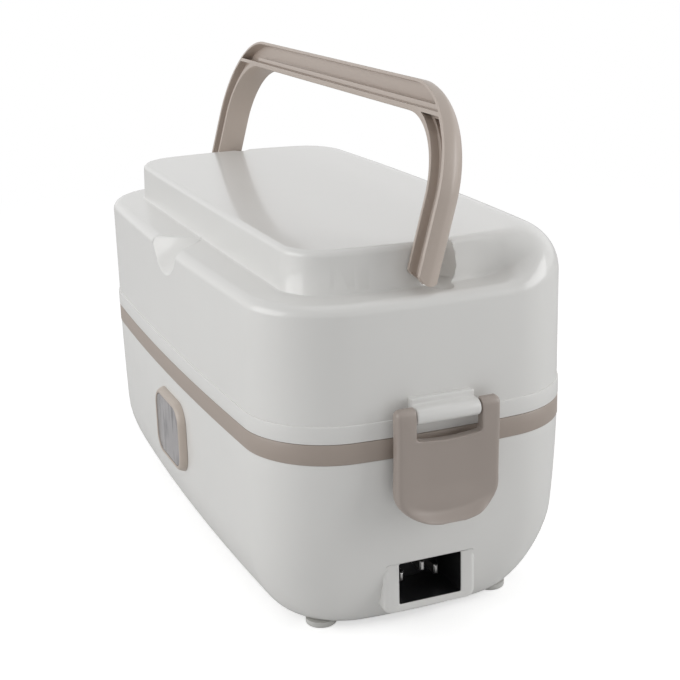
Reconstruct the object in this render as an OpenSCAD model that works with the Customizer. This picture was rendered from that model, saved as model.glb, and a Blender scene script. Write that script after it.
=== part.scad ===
// Electric lunch box: a heated base, a lift-off lid with a folding handle, two end latches.
// Frame: millimetres, +Z up, origin on the table under the middle of the box.
// +X is the end with the power inlet, -Y is the long side with the indicator window.
// Every sub-part is one module and one node. The lofted walls are closed rings stacked
// from the inner or outer bottom ring to the last one; bores and pins are true cylinders.

/* [Body] */
// Length over the end walls, without the latches
body_length = 236; // [216:1:260]
// Width over the side walls
body_width = 123.5; // [112:0.5:136]
// Height of the white base from its flat underside to the collar
base_height = 69.3; // [66:0.1:80]
// Height of the beige collar between base and lid
collar_height = 7.4; // [6.4:0.1:9]
// Height of the lid wall from the collar to the ledge
lid_wall_height = 47.4; // [45:0.1:60]
// Height of the proud strip along the edge of the lid
strip_height = 6.4; // [5.5:0.1:8]
// Rise of the raised top above the ledge of the lid
plateau_height = 15.3; // [14.5:0.1:18]
// Radius of the vertical corners seen from above
corner_radius = 31.8; // [28:0.1:34]
// Outward bow of each long side
side_bow = 4; // [2:0.1:5]
// Outward bow of each end
end_bow = 4.9; // [3:0.1:6]
// Thickness of the moulded walls
wall = 2.4; // [2:0.1:2.8]

/* [Feet] */
// Height of the rubber feet
foot_height = 2.2; // [1.6:0.1:4]
// Radius of each foot
foot_radius = 5.7; // [4.5:0.1:6]

/* [Raised top] */
// Width of the ledge at each end
end_ledge = 12.8; // [12.2:0.1:13.6]
// Width of the ledge along each side
side_ledge = 16; // [13:0.1:18]
// Corner radius of the raised top
plateau_corner = 18; // [14:0.1:22]

/* [Handle] */
// Distance from the pivot to the outer edge of the bar
handle_reach = 60.3; // [58.5:0.1:60.8]
// Size of the bar and legs in the plane of the handle
handle_thickness = 10.3; // [9.2:0.1:10.7]
// Size of the bar and legs across the plane of the handle
handle_depth = 10.9; // [10:0.1:11.2]
// Backward lean of the handle in its rest position, degrees
handle_tilt = 15.6; // [5:0.1:20]
// Radius of the two pivot studs
stud_radius = 3; // [2.4:0.1:3.4]

/* [Latches] */
// Width of a latch
latch_width = 38.4; // [34:0.1:44]
// Height of a latch
latch_length = 42; // [38:0.1:46]
// Width of the hinge block between the ears
block_width = 23.8; // [20:0.1:26]
// Radius of the steel latch pins
latch_pin_radius = 1.25; // [1:0.05:1.4]

/* [Power inlet] */
// Width of the inlet opening
inlet_width = 24.5; // [24:0.1:25.5]
// Height of the inlet opening
inlet_height = 15.8; // [15:0.1:16.2]
// Height of the middle of the inlet above the table
inlet_z = 19.2; // [18.8:0.1:20]

/* [Indicator] */
// Width of the indicator bezel
indicator_width = 36.2; // [30:0.1:42.0]
// Height of the indicator bezel
indicator_height = 29.2; // [24:0.1:31]
// How far the bezel stands proud of the side wall
indicator_proud = 2.9; // [1.5:0.1:3.5]
// Distance from the lower edge of the collar down to the middle of the indicator
indicator_drop = 21.7; // [20.5:0.1:24]

/* [Trays] */
// Outside depth of the steel food tray below its rim
tray_depth = 44; // [36:0.5:46]
// Depth of the side-dish tray
dish_depth = 28; // [22:0.5:30]

/* [Hidden] */
$fn = 48;

half_l = body_length / 2;
half_w = body_width / 2;
z_under = foot_height;
z_collar = z_under + base_height;
z_part = z_collar + collar_height;
z_strip = z_part + strip_height;
z_ledge = z_part + lid_wall_height;
z_top = z_ledge + plateau_height;
// Seam between the resting lid and the collar
seam = 0.1;
// Clearance that bodies keep from each other
gap = 0.4;
// Overshoot of cutting tools
over = 1;

// Rings: half sizes, bows and corner radius of one level, sampled the same way everywhere
n_side = 5;
n_corner = 10;
n_end = 4;
n_quad = n_side + n_corner + n_end;
n_ring = 4 * n_quad;

function arc_radius(half, bow) = (half * half + bow * bow) / (2 * bow);
function fillet_centre(a, b, ra, rb, rc) =
  let (c1 = [0, b - ra], c2 = [a - rb, 0], d1 = ra - rc, d2 = rb - rc,
       dist = norm(c2 - c1), u = (c2 - c1) / dist,
       x = (d1 * d1 - d2 * d2 + dist * dist) / (2 * dist),
       h = sqrt(max(d1 * d1 - x * x, 0)),
       p = c1 + u * x, n = [-u[1], u[0]], q = p + n * h, r = p - n * h)
  q[0] + q[1] > r[0] + r[1] ? q : r;
function quadrant(a, b, s, e, rc) =
  let (ra = arc_radius(a, s), rb = arc_radius(b, e),
       c = fillet_centre(a, b, ra, rb, rc),
       c1 = [0, b - ra], c2 = [a - rb, 0],
       t1 = atan2(c[1] - c1[1], c[0] - c1[0]), t2 = atan2(c[1] - c2[1], c[0] - c2[0]))
  concat(
    [for (i = [0:n_end - 1]) c2 + rb * [cos(t2 * i / n_end), sin(t2 * i / n_end)]],
    [for (i = [0:n_corner - 1])
      let (t = t2 + (t1 - t2) * i / n_corner) c + rc * [cos(t), sin(t)]],
    [for (i = [0:n_side])
      let (t = t1 + (90 - t1) * i / n_side) c1 + ra * [cos(t), sin(t)]]);
function ring(a, b, s, e, rc) =
  let (q = quadrant(a, b, s, e, rc))
  concat([for (i = [0:n_quad - 1]) q[i]],
         [for (i = [0:n_quad - 1]) [-q[n_quad - i][0], q[n_quad - i][1]]],
         [for (i = [0:n_quad - 1]) -q[i]],
         [for (i = [0:n_quad - 1]) [q[n_quad - i][0], -q[n_quad - i][1]]]);
// Body outline moved inwards by ix at the ends and iy at the sides
function body_ring(ix, iy, rc) =
  ring(half_l - ix, half_w - iy, side_bow * (1 - iy / half_w),
       end_bow * (1 - ix / half_l), rc);
function inset_ring(i) = body_ring(i, i, max(corner_radius - i, 3));

// A closed solid from a list of [z, ring]: flat caps on the first and the last ring
module loft(levels) {
  count = len(levels);
  points = [for (l = levels) for (p = l[1]) [p[0], p[1], l[0]]];
  sides = [for (k = [0:count - 2]) for (j = [0:n_ring - 1])
    let (a = k * n_ring + j, b = k * n_ring + (j + 1) % n_ring) each
      [[a, a + n_ring, b + n_ring], [a, b + n_ring, b]]];
  first = [[for (j = [0:n_ring - 1]) j]];
  last = [[for (j = [0:n_ring - 1]) count * n_ring - 1 - j]];
  polyhedron(points = points, faces = concat(first, sides, last), convexity = 8);
}
// A flat band that follows the body between two insets
module band(outer, inner, z0, z1) {
  translate([0, 0, z0]) linear_extrude(z1 - z0) difference() {
    polygon(inset_ring(outer));
    polygon(inset_ring(inner));
  }
}
module at_both_ends() {
  children();
  rotate([0, 0, 180]) children();
}
module four(x, y) {
  for (sx = [-1, 1]) for (sy = [-1, 1]) translate([sx * x, sy * y, 0]) children();
}
// A rounded rectangle, centred, made of exact arcs
module round_rect(w, h, r) {
  square([w - 2 * r, h], center = true);
  square([w, h - 2 * r], center = true);
  for (sx = [-1, 1]) for (sy = [-1, 1])
    translate([sx * (w / 2 - r), sy * (h / 2 - r)]) circle(r);
}
// A wire as one tube with a mitred ring at every point of its path
n_wire = 10;
function unit(v) = v / norm(v);
function path_way(path, i) =
  unit((i > 0 ? unit(path[i] - path[i - 1]) : [0, 0, 0]) +
       (i < len(path) - 1 ? unit(path[i + 1] - path[i]) : [0, 0, 0]));
module wire(path, r) {
  count = len(path);
  points = [for (i = [0:count - 1])
    let (t = path_way(path, i), n = unit(cross([0.37, 0.81, 0.45], t)), b = cross(t, n))
    for (j = [0:n_wire - 1])
      path[i] + r * (cos(360 * j / n_wire) * n + sin(360 * j / n_wire) * b)];
  sides = [for (k = [0:count - 2]) for (j = [0:n_wire - 1])
    let (a = k * n_wire + j, c = k * n_wire + (j + 1) % n_wire) each
      [[a, a + n_wire, c + n_wire], [a, c + n_wire, c]]];
  first = [[for (j = [0:n_wire - 1]) j]];
  last = [[for (j = [0:n_wire - 1]) count * n_wire - 1 - j]];
  polyhedron(points = points, faces = concat(first, sides, last), convexity = 6);
}

// Base wall: the ends lean in over the whole height, both directions round at the bottom
end_lean = 8.9;
end_round = 11.2;
end_round_height = 0.9 * base_height;
end_power = 1.8;
side_round = 17.9;
side_round_height = 0.446 * base_height;
side_power = 1.54;
bottom_corner = 23.4;
function rounded(depth, r, h, p) =
  let (u = max(0, min(1, (depth - (base_height - h)) / h)))
  r * (1 - pow(max(0, 1 - pow(u, p)), 1 / p));
function base_ix(depth) =
  end_lean * depth / base_height + rounded(depth, end_round, end_round_height, end_power);
function base_iy(depth) = rounded(depth, side_round, side_round_height, side_power);
function base_rc(depth) =
  corner_radius - (corner_radius - bottom_corner) * depth / base_height;
base_depths = [for (f = [1, 0.997, 0.985, 0.965, 0.93, 0.88, 0.82, 0.75, 0.67, 0.58, 0.45,
                         0.3, 0.15, 0]) f * base_height];
function base_outer(depth) =
  [z_collar - depth, body_ring(base_ix(depth), base_iy(depth), base_rc(depth))];
function base_inner(depth) =
  [z_collar - depth * (1 - wall / base_height),
   body_ring(base_ix(depth) + wall, base_iy(depth) + wall, base_rc(depth) - wall)];

// Feet, screws and posts
foot_x = half_l - 29.5;
foot_y = half_w - 27.2;
seat_radius = foot_radius + 0.5;
screw_x = 66;
screw_y = 24;
post_z = z_under + 6.8;

// Inlet boss: an upright flat face, proud of the wall below and sunk into it at the top
boss_x = half_l - 9;
boss_depth = 10;
boss_half = inlet_width / 2 + 5.7;
boss_z0 = inlet_z - inlet_height / 2 - 2.9;
boss_z1 = inlet_z + inlet_height / 2 + 0.5;
boss_corner = 2.4;
inlet_face = boss_x - wall;
inlet_back = boss_x - 21.5;

// Indicator: bezel on the front wall, held in a hole of the housing
indicator_z = z_collar - indicator_drop;
front_y = -half_w;
bezel_r = 8.5;
bezel_lip = 2.4;

// Liner, tray, cover and dish, as insets from the body outline
liner_flange = 1.5;
liner_z = max(z_part - 47.5, inlet_z + inlet_height / 2 + 3.5);
liner_wall = 1.6;
well_ix = 17;
well_iy = 13.5;
plate_radius = 32;
plate_z = liner_z - liner_wall - 1.2;
tray_inset = 13;
sheet = 0.8;
z_tray = z_part + 0.1;
z_cover = z_tray + sheet + 0.1;
z_dish = z_cover + 3.5;
tray_z = max(z_tray - tray_depth, liner_z + 3);
plate_thick = 2.5;
heater_length = 36;
heater_width = 20;
heater_height = 6;
pad_height = 1;
pad_rim = 1;
strap_width = 14;
strap_height = 1.2;
clamp_x = plate_radius + 8;
strap_z = plate_z - heater_height - pad_height - strap_height;

module base_housing() color([0.93, 0.93, 0.92]) {
  difference() {
    union() {
      loft(concat([for (d = base_depths) base_outer(d)],
                  [for (i = [len(base_depths) - 1:-1:0]) base_inner(base_depths[i])]));
      // Upright boss around the inlet
      difference() {
        inlet_boss(boss_x - boss_depth, boss_x, 0);
        inlet_boss(boss_x - boss_depth - over, inlet_face, wall);
      }
      // Seats of the feet and bosses of the screws
      four(foot_x, foot_y) translate([0, 0, z_under]) cylinder(r = seat_radius, h = 4);
      four(screw_x, screw_y) translate([0, 0, z_under + wall / 2])
        cylinder(r = 5, h = post_z - z_under - wall / 2);
    }
    // Flat face sunk into the wall, and room behind it for the inlet body
    inlet_boss(boss_x, half_l, 0);
    translate([inlet_back - 2, -inlet_width / 2 - 1.6, inlet_z - inlet_height / 2 - 1.6])
      cube([inlet_face - inlet_back + 2, inlet_width + 3.2, inlet_height + 3.2]);
    translate([inlet_face - over, -inlet_width / 2, inlet_z - inlet_height / 2])
      cube([wall + 2 * over, inlet_width, inlet_height]);
    // Hole for the indicator
    translate([0, front_y + 6, indicator_z]) rotate([90, 0, 0])
      linear_extrude(12) round_rect(indicator_width - 8, indicator_height - 8, 4.5);
    four(screw_x, screw_y) {
      translate([0, 0, z_under - over]) cylinder(r = 3.3, h = 4 + over);
      translate([0, 0, z_under]) cylinder(r = 1.7, h = 10);
    }
  }
}
module boss_outline(t) {
  round_rect(boss_z1 - boss_z0 - 2 * t, 2 * boss_half - 2 * t, boss_corner - t / 2);
}
module inlet_boss(x0, x1, t) {
  translate([x0, 0, (boss_z0 + boss_z1) / 2]) rotate([0, 90, 0])
    linear_extrude(x1 - x0) boss_outline(t);
}

module base_collar() color([0.70, 0.64, 0.60]) {
  band(-0.2, 6.4, z_collar, z_part);
  band(6.4, 8.6, z_collar, z_part - liner_flange);
  band(wall + 0.8, wall + 2.6, z_collar - 4, z_collar + 0.1);
  // Ribs that the latches hook under
  at_both_ends() translate([half_l - 3, -8, z_part - 5.6]) cube([5.2, 16, 3]);
}

// Liner: a well with a flange, a floor opening for the plate and posts for the screws
module inner_liner() color([0.86, 0.86, 0.84]) {
  difference() {
    union() {
      loft([
        [liner_z - liner_wall, body_ring(well_ix + 4, well_iy + 4, 21)],
        [liner_z - liner_wall + 3, body_ring(well_ix, well_iy, 24)],
        [z_part - liner_flange, inset_ring(10)],
        [z_part - liner_flange, inset_ring(6.5)],
        [z_part, inset_ring(6.5)],
        [z_part, inset_ring(10 + liner_wall)],
        [liner_z + 2.4, body_ring(well_ix + liner_wall, well_iy + liner_wall, 23)],
        [liner_z, body_ring(well_ix + 5, well_iy + 5, 20)]]);
      translate([0, 0, plate_z - 1.6]) cylinder(r = plate_radius + 4, h = 3, $fn = 72);
      four(screw_x, screw_y) translate([0, 0, post_z])
        cylinder(r = 4, h = liner_z - liner_wall - post_z + 0.4);
      for (s = [-1, 1]) translate([s * clamp_x, 0, strap_z + strap_height])
        cylinder(r = 3, h = liner_z - strap_z - 1.6);
    }
    translate([0, 0, plate_z - 3]) cylinder(r = plate_radius - 3, h = 10, $fn = 72);
    translate([0, 0, plate_z]) cylinder(r = plate_radius + 1.6, h = 10, $fn = 72);
    four(screw_x, screw_y) translate([0, 0, post_z - over]) cylinder(r = 1.55, h = 12);
    for (s = [-1, 1]) translate([s * clamp_x, 0, strap_z]) cylinder(r = 1.45, h = 9.4);
  }
}

// Heater pack under the well
module heating_plate() color([0.80, 0.81, 0.82]) {
  translate([0, 0, plate_z]) cylinder(r = plate_radius, h = plate_thick, $fn = 72);
}
module plate_seal() color([0.85, 0.85, 0.83]) {
  translate([0, 0, plate_z]) difference() {
    cylinder(r = plate_radius + 1.55, h = plate_thick, $fn = 72);
    translate([0, 0, -over]) cylinder(r = plate_radius + 0.05, h = 5, $fn = 72);
  }
}
module ptc_heater() color([0.66, 0.67, 0.68]) {
  translate([-heater_length / 2, -heater_width / 2, plate_z - heater_height])
    cube([heater_length, heater_width, heater_height]);
  for (s = [-1, 1]) translate([-heater_length / 2 - 6, s * 4 - 2, plate_z - 3.4])
    cube([6, 4, 0.8]);
}
module insulation_pad() color([0.80, 0.72, 0.56]) {
  translate([-heater_length / 2 - pad_rim, -heater_width / 2 - pad_rim,
    plate_z - heater_height - pad_height])
    cube([heater_length + 2 * pad_rim, heater_width + 2 * pad_rim, pad_height]);
}
module heater_clamp() color([0.72, 0.73, 0.75]) {
  difference() {
    translate([-clamp_x - 4, -strap_width / 2, strap_z])
      cube([2 * clamp_x + 8, strap_width, strap_height]);
    for (s = [-1, 1]) translate([s * clamp_x, 0, strap_z - over]) cylinder(r = 1.6, h = 4);
  }
}
module clamp_screws() color([0.60, 0.61, 0.63]) {
  for (s = [-1, 1]) translate([s * clamp_x, 0, 0]) screw(strap_z, 2.6, 1.4, 9);
}
// A pan-head screw driven upwards, its head under z
module screw(z, head, shank, length) {
  difference() {
    translate([0, 0, z - 1.8]) cylinder(r = head, h = 1.8);
    translate([-head / 1.6, -0.4, z - 2.4]) cube([head * 1.25, 0.8, 1.4]);
    translate([-0.4, -head / 1.6, z - 2.4]) cube([0.8, head * 1.25, 1.4]);
  }
  translate([0, 0, z - 0.5]) cylinder(r = shank, h = length + 0.5);
}
module thermostat() color([0.25, 0.25, 0.26]) {
  translate([0, 19.5, plate_z - 7.5]) cylinder(r = 7.8, h = 7.5);
  for (s = [-1, 1]) translate([s * 4 - 1.6, 19.1, plate_z - 12]) cube([3.2, 0.8, 4.6]);
}
module thermal_fuse() color([0.90, 0.88, 0.84]) {
  translate([-7, -18, plate_z - 2.4]) rotate([0, 90, 0]) cylinder(r = 2.4, h = 14);
  translate([-12, -18, plate_z - 2.4]) rotate([0, 90, 0]) cylinder(r = 0.6, h = 24);
}

// Wiring: from the inlet tabs to the cut-outs, the heater and the indicator
tab_x = inlet_back - 4.5;
pin_pitch = 14;
pin_low = inlet_z - 2.4;
pin_high = inlet_z + 1.8;
module wire_live() color([0.45, 0.28, 0.18]) {
  wire([[tab_x, -pin_pitch / 2, pin_low], [tab_x - 8, -pin_pitch / 2, pin_low],
        [46, -18, 13], [18, -18, 15], [12.7, -18, plate_z - 2.4]], 1.2);
  wire([[-12.7, -18, plate_z - 2.4], [-20, -18, 17], [-27, -12, 17],
        [-28, -10, plate_z - 5], [-27.4, -5, plate_z - 3.4], [-24.6, -4, plate_z - 3]], 1.2);
}
module wire_neutral() color([0.20, 0.36, 0.60]) {
  wire([[tab_x, pin_pitch / 2, pin_low], [tab_x - 8, pin_pitch / 2, pin_low],
        [40, 20, 12], [12, 20, 12], [6.9, 19.5, plate_z - 11]], 1.2);
  wire([[-6.9, 19.5, plate_z - 11], [-22, 16, 14], [-27, 12, 16],
        [-28, 10, plate_z - 5], [-27.4, 5, plate_z - 3.4], [-24.6, 4, plate_z - 3]], 1.2);
}
module wire_earth() color([0.50, 0.62, 0.24]) {
  wire([[tab_x, 0, pin_high], [tab_x - 6, 0, pin_high - 1], [62, 3, 12],
        [34, 14, 13], [22, 16, plate_z - 1.4]], 1.2);
}
module indicator_wires() color([0.75, 0.30, 0.25]) {
  for (s = [-1, 1])
    wire([[s * 5, front_y + 6.9, indicator_z - 4], [s * 5, front_y + 8.5, indicator_z - 8],
          [s * 5, front_y + 10, 30], [s * 6 - 20, -38, 14], [s * 2.2 - 26, -22, 12],
          [s * 3 - 29, -12, 12]], 0.8);
}

module power_inlet() color([0.08, 0.08, 0.08]) {
  w = inlet_width;
  h = inlet_height;
  difference() {
    translate([inlet_back, -w / 2 - 1.2, inlet_z - h / 2 - 1.2])
      cube([inlet_face - inlet_back, w + 2.4, h + 2.4]);
    translate([inlet_back + 2, -w / 2, inlet_z - h / 2])
      cube([inlet_face - inlet_back, w, h]);
    pin_slots(0);
  }
}
module pin_slots(t) {
  for (y = [-pin_pitch / 2, 0, pin_pitch / 2])
    translate([inlet_back - over, y - 1 + t, (y == 0 ? pin_high : pin_low) - 2 + t])
      cube([4, 2 - 2 * t, 4 - 2 * t]);
}
module inlet_pins() color([0.78, 0.78, 0.80]) {
  for (y = [-pin_pitch / 2, 0, pin_pitch / 2]) {
    z = y == 0 ? pin_high : pin_low;
    reach = y == 0 ? 15 : 12;
    translate([inlet_back, y - 0.95, z - 1.95]) cube([reach, 1.9, 3.9]);
    translate([tab_x + 1.2, y - 0.95, z - 1.95]) cube([inlet_back - tab_x - 1.1, 1.9, 3.9]);
  }
}

// Indicator window
module indicator_plate(w, h, r, y0, y1) {
  translate([0, y1, indicator_z]) rotate([90, 0, 0]) linear_extrude(y1 - y0)
    round_rect(w, h, r);
}
module indicator_bezel() color([0.72, 0.66, 0.60]) {
  w = indicator_width;
  h = indicator_height;
  face = front_y - indicator_proud;
  difference() {
    union() {
      indicator_plate(w, h, bezel_r, face + 1.7, front_y);
      indicator_plate(w - 1, h - 1, bezel_r - 0.5, face + 0.6, face + 1.7);
      indicator_plate(w - 2.2, h - 2.2, bezel_r - 1.1, face, face + 0.6);
      indicator_plate(w - 8.6, h - 8.6, 4.2, front_y - over / 2, front_y + 4.8);
    }
    indicator_plate(w - 2 * bezel_lip, h - 2 * bezel_lip, bezel_r - 2,
      face - over, front_y - 0.6);
    indicator_plate(w - 11.4, h - 11.4, 3, face, front_y + 6);
  }
}
module indicator_lens() color([0.62, 0.63, 0.66]) {
  indicator_plate(indicator_width - 2 * bezel_lip - 0.1, indicator_height - 2 * bezel_lip - 0.1,
    bezel_r - 2.05, front_y - indicator_proud + 0.3, front_y - 0.6);
}
module indicator_board() color([0.16, 0.36, 0.22]) {
  indicator_plate(indicator_width - 10, indicator_height - 9.5, 1, front_y + 4.8, front_y + 6.2);
}
module indicator_led() color([0.90, 0.55, 0.30]) {
  translate([0, front_y + 4.8, indicator_z]) rotate([90, 0, 0]) {
    cylinder(r = 2.5, h = 2.2);
    translate([0, 0, 2.2]) difference() {
      sphere(2.45);
      translate([-3, -3, -4]) cube([6, 6, 4]);
    }
  }
}

module feet() color([0.80, 0.80, 0.78]) {
  four(foot_x, foot_y) cylinder(r = foot_radius, h = foot_height);
}
module base_screws() color([0.60, 0.61, 0.63]) {
  four(screw_x, screw_y) screw(z_under + 4, 3, 1.5, post_z - z_under + 5);
}

// Trays
module food_tray() color([0.82, 0.83, 0.84]) {
  loft([
    [tray_z, body_ring(24, 20.5, 15)],
    [tray_z + 1.2, body_ring(21.4, 18, 17.4)],
    [tray_z + 4, body_ring(20.2, 16.8, 18.6)],
    [z_tray, inset_ring(tray_inset)],
    [z_tray, inset_ring(8.9)],
    [z_tray + sheet, inset_ring(8.9)],
    [z_tray + sheet, inset_ring(tray_inset + 0.9)],
    [tray_z + 4.2, body_ring(21, 17.6, 18)],
    [tray_z + 1.8, body_ring(22.2, 18.8, 16.8)],
    [tray_z + sheet, body_ring(24.4, 21, 14.6)]]);
}
module tray_cover() color([0.90, 0.90, 0.88]) {
  plug_x = half_l - 17;
  difference() {
    union() {
      band(7.6, 8.6, z_cover - 0.7, z_cover + 1.5);
      translate([0, 0, z_cover + 1.4]) linear_extrude(2) polygon(inset_ring(7.6));
      band(tray_inset + 1.3, tray_inset + 2.5, z_cover - 0.4, z_cover + 1.5);
    }
    translate([plug_x, 0, z_cover]) cylinder(r = 3, h = 6);
  }
}
module tray_seal() color([0.88, 0.88, 0.86]) {
  band(9.5, 12.6, z_cover, z_cover + 1.4);
}
module steam_plug() color([0.72, 0.66, 0.60]) {
  translate([half_l - 17, 0, 0]) difference() {
    union() {
      translate([0, 0, z_cover + 0.6]) cylinder(r = 2.9, h = 2.9);
      translate([0, 0, z_cover + 3.4]) cylinder(r = 4.6, h = 1.2);
    }
    translate([0, 0, z_cover]) cylinder(r = 1, h = 8);
  }
}
module side_dish_tray() color([0.90, 0.90, 0.88]) {
  z1 = z_dish + dish_depth;
  difference() {
    loft([
      [z_dish, body_ring(28, 19, 18)],
      [z_dish + 2.5, body_ring(26, 17, 20)],
      [z1 - 2, body_ring(20.2, 14.2, 22)],
      [z1 - 2, body_ring(18.2, 12.4, 23)],
      [z1, body_ring(18.2, 12.4, 23)]]);
    difference() {
      loft([
        [z_dish + 1.6, body_ring(29, 20, 17)],
        [z_dish + 3.6, body_ring(27.6, 18.6, 19)],
        [z1 + over, body_ring(21.6, 15.6, 21)]]);
      translate([18, -half_w, z_dish]) cube([1.6, 2 * half_w, dish_depth - 3]);
    }
  }
}

// Lid
pa = half_l - end_ledge;
pb = half_w - side_ledge;
function top_ring(i) = ring(pa - i, pb - i, 0.8, 4.2, plateau_corner - i);
edge_r = 4;
top_r = 2.2;
lid_in = 0.2;
lid_skin = lid_in + wall;
lid_outer = concat(
  [[z_part + seam, inset_ring(-0.2)], [z_part + seam + 0.4, inset_ring(-0.3)],
   [z_strip - 0.3, inset_ring(-0.3)], [z_strip, inset_ring(lid_in)]],
  [for (t = [0, 15, 32, 50, 70, 90])
    [z_ledge - edge_r * (1 - sin(t)), inset_ring(lid_in + edge_r * (1 - cos(t)))]],
  [[z_ledge, top_ring(-1)], [z_ledge + 0.3, top_ring(-0.3)], [z_ledge + 1, top_ring(0)]],
  [for (t = [0, 22, 45, 68, 90])
    [z_top - top_r * (1 - sin(t)), top_ring(0.4 + top_r * (1 - cos(t)))]]);
lid_inner = [
  [z_top - wall, top_ring(wall + 2.2)],
  [z_top - wall - 1.2, top_ring(wall + 0.6)],
  [z_ledge - wall, top_ring(wall)],
  [z_ledge - wall, inset_ring(lid_skin + 2.6)],
  [z_ledge - wall - 1.2, inset_ring(lid_skin + 0.8)],
  [z_ledge - wall - 3, inset_ring(lid_skin)],
  [z_part + 8, inset_ring(lid_skin)],
  [z_part + 6, inset_ring(6.5)],
  [z_part + 4.1, inset_ring(6.5)],
  [z_part + 4.1, inset_ring(lid_skin)],
  [z_part + seam, inset_ring(lid_skin)]];

pivot_z = z_ledge + 6.7;
pocket_z = z_ledge + 6;
pocket_r = 12;
pocket_x = pa - 6;
module pockets(t) {
  at_both_ends() intersection() {
    translate([pocket_x - t, 0, pocket_z]) rotate([0, 90, 0])
      cylinder(r = pocket_r + t, h = 30, $fn = 72);
    translate([0, -30, z_ledge - t]) cube([200, 60, 60]);
  }
}
// Finger notch: a cone that starts at the foot of the raised top and opens in the front wall
notch_r = 18;
notch_drop = 12;
module notch(t) {
  y0 = -pb + 0.5;
  run = half_w - pb;
  rise = notch_r - notch_drop;
  tilt = atan2(rise, run);
  translate([0, y0, z_ledge]) rotate([90 - tilt, 0, 0]) translate([0, 0, -t * 2])
    cylinder(r1 = 0.1, r2 = (notch_r * cos(tilt) + 0.4) * (run + 6 + t * 2) / run,
      h = (run + 6 + t * 2) / cos(tilt), $fn = 72);
}

hinge_x = half_l + 4.4;
hinge_z = z_part + 8.2;
barrel_r = 3;
module lid_shell() color([0.94, 0.94, 0.93]) {
  difference() {
    union() {
      loft(concat(lid_inner, lid_outer));
      // Skin behind the notch and the handle pockets
      intersection() {
        loft(lid_outer);
        union() {
          difference() {
            notch(wall);
            translate([-60, -200, z_ledge + 0.4]) cube([120, 400, 60]);
          }
          difference() {
            pockets(wall);
            translate([-200, -60, z_top - 0.6]) cube([400, 120, 60]);
          }
        }
      }
      at_both_ends() {
        translate([pocket_x - 5.4, 0, pivot_z]) rotate([0, 90, 0]) cylinder(r = 6, h = 5.2);
        // Hinge block of the latch
        translate([half_l - 1.4, -block_width / 2, z_strip - 0.6])
          cube([3.2, block_width, hinge_z - z_strip + 5.8]);
        translate([half_l - 1.4, -block_width / 2, hinge_z - barrel_r])
          cube([5.8, block_width, 2 * barrel_r]);
        translate([hinge_x, block_width / 2, hinge_z]) rotate([90, 0, 0])
          cylinder(r = barrel_r, h = block_width);
      }
    }
    pockets(0);
    notch(0);
    at_both_ends() {
      translate([pocket_x - 7, 0, pivot_z]) rotate([0, 90, 0])
        cylinder(r = stud_radius + 0.05, h = 9);
      translate([hinge_x, block_width / 2 + over, hinge_z]) rotate([90, 0, 0])
        cylinder(r = latch_pin_radius + 0.05, h = block_width + 2 * over);
    }
  }
}
module lid_seal() color([0.86, 0.86, 0.84]) {
  difference() {
    band(lid_skin + 0.1, 6.4, z_part + seam, z_part + 4.1);
    band(3.8, 5.2, z_part, z_part + 1.6);
  }
}

// Handle: an open channel, drawn upright about its pivot and then leant back
handle_w = half_l - 2;
handle_in = handle_w - handle_thickness;
bend_r = 33;
bend_z = handle_reach - bend_r;
handle_front = -6.2;
foot_r = 6.6;
lip = 1.7;
// Section of bar and legs, as [from the inner face, from the front]: square front with a flat
// outer side that meets the round back in a soft crease
back_reach = handle_thickness + 0.05;
back_depth = 0.833 * handle_depth;
crease = acos((handle_thickness - 0.3) / back_reach);
function channel_profile() =
  concat([[0, 0], [handle_thickness, 0]],
    [for (k = [0:8]) let (a = crease + (90 - crease) * k / 8)
      [0.3 + back_reach * cos(a), handle_depth - back_depth * (1 - sin(a))]],
    [[0, handle_depth]]);
module arch(w, z1, r) {
  translate([-w, -20]) square([2 * w, z1 - r + 20]);
  translate([-w + r, -20]) square([2 * (w - r), z1 + 20]);
  for (s = [-1, 1]) translate([s * (w - r), z1 - r]) circle(r, $fn = 96);
}
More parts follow.
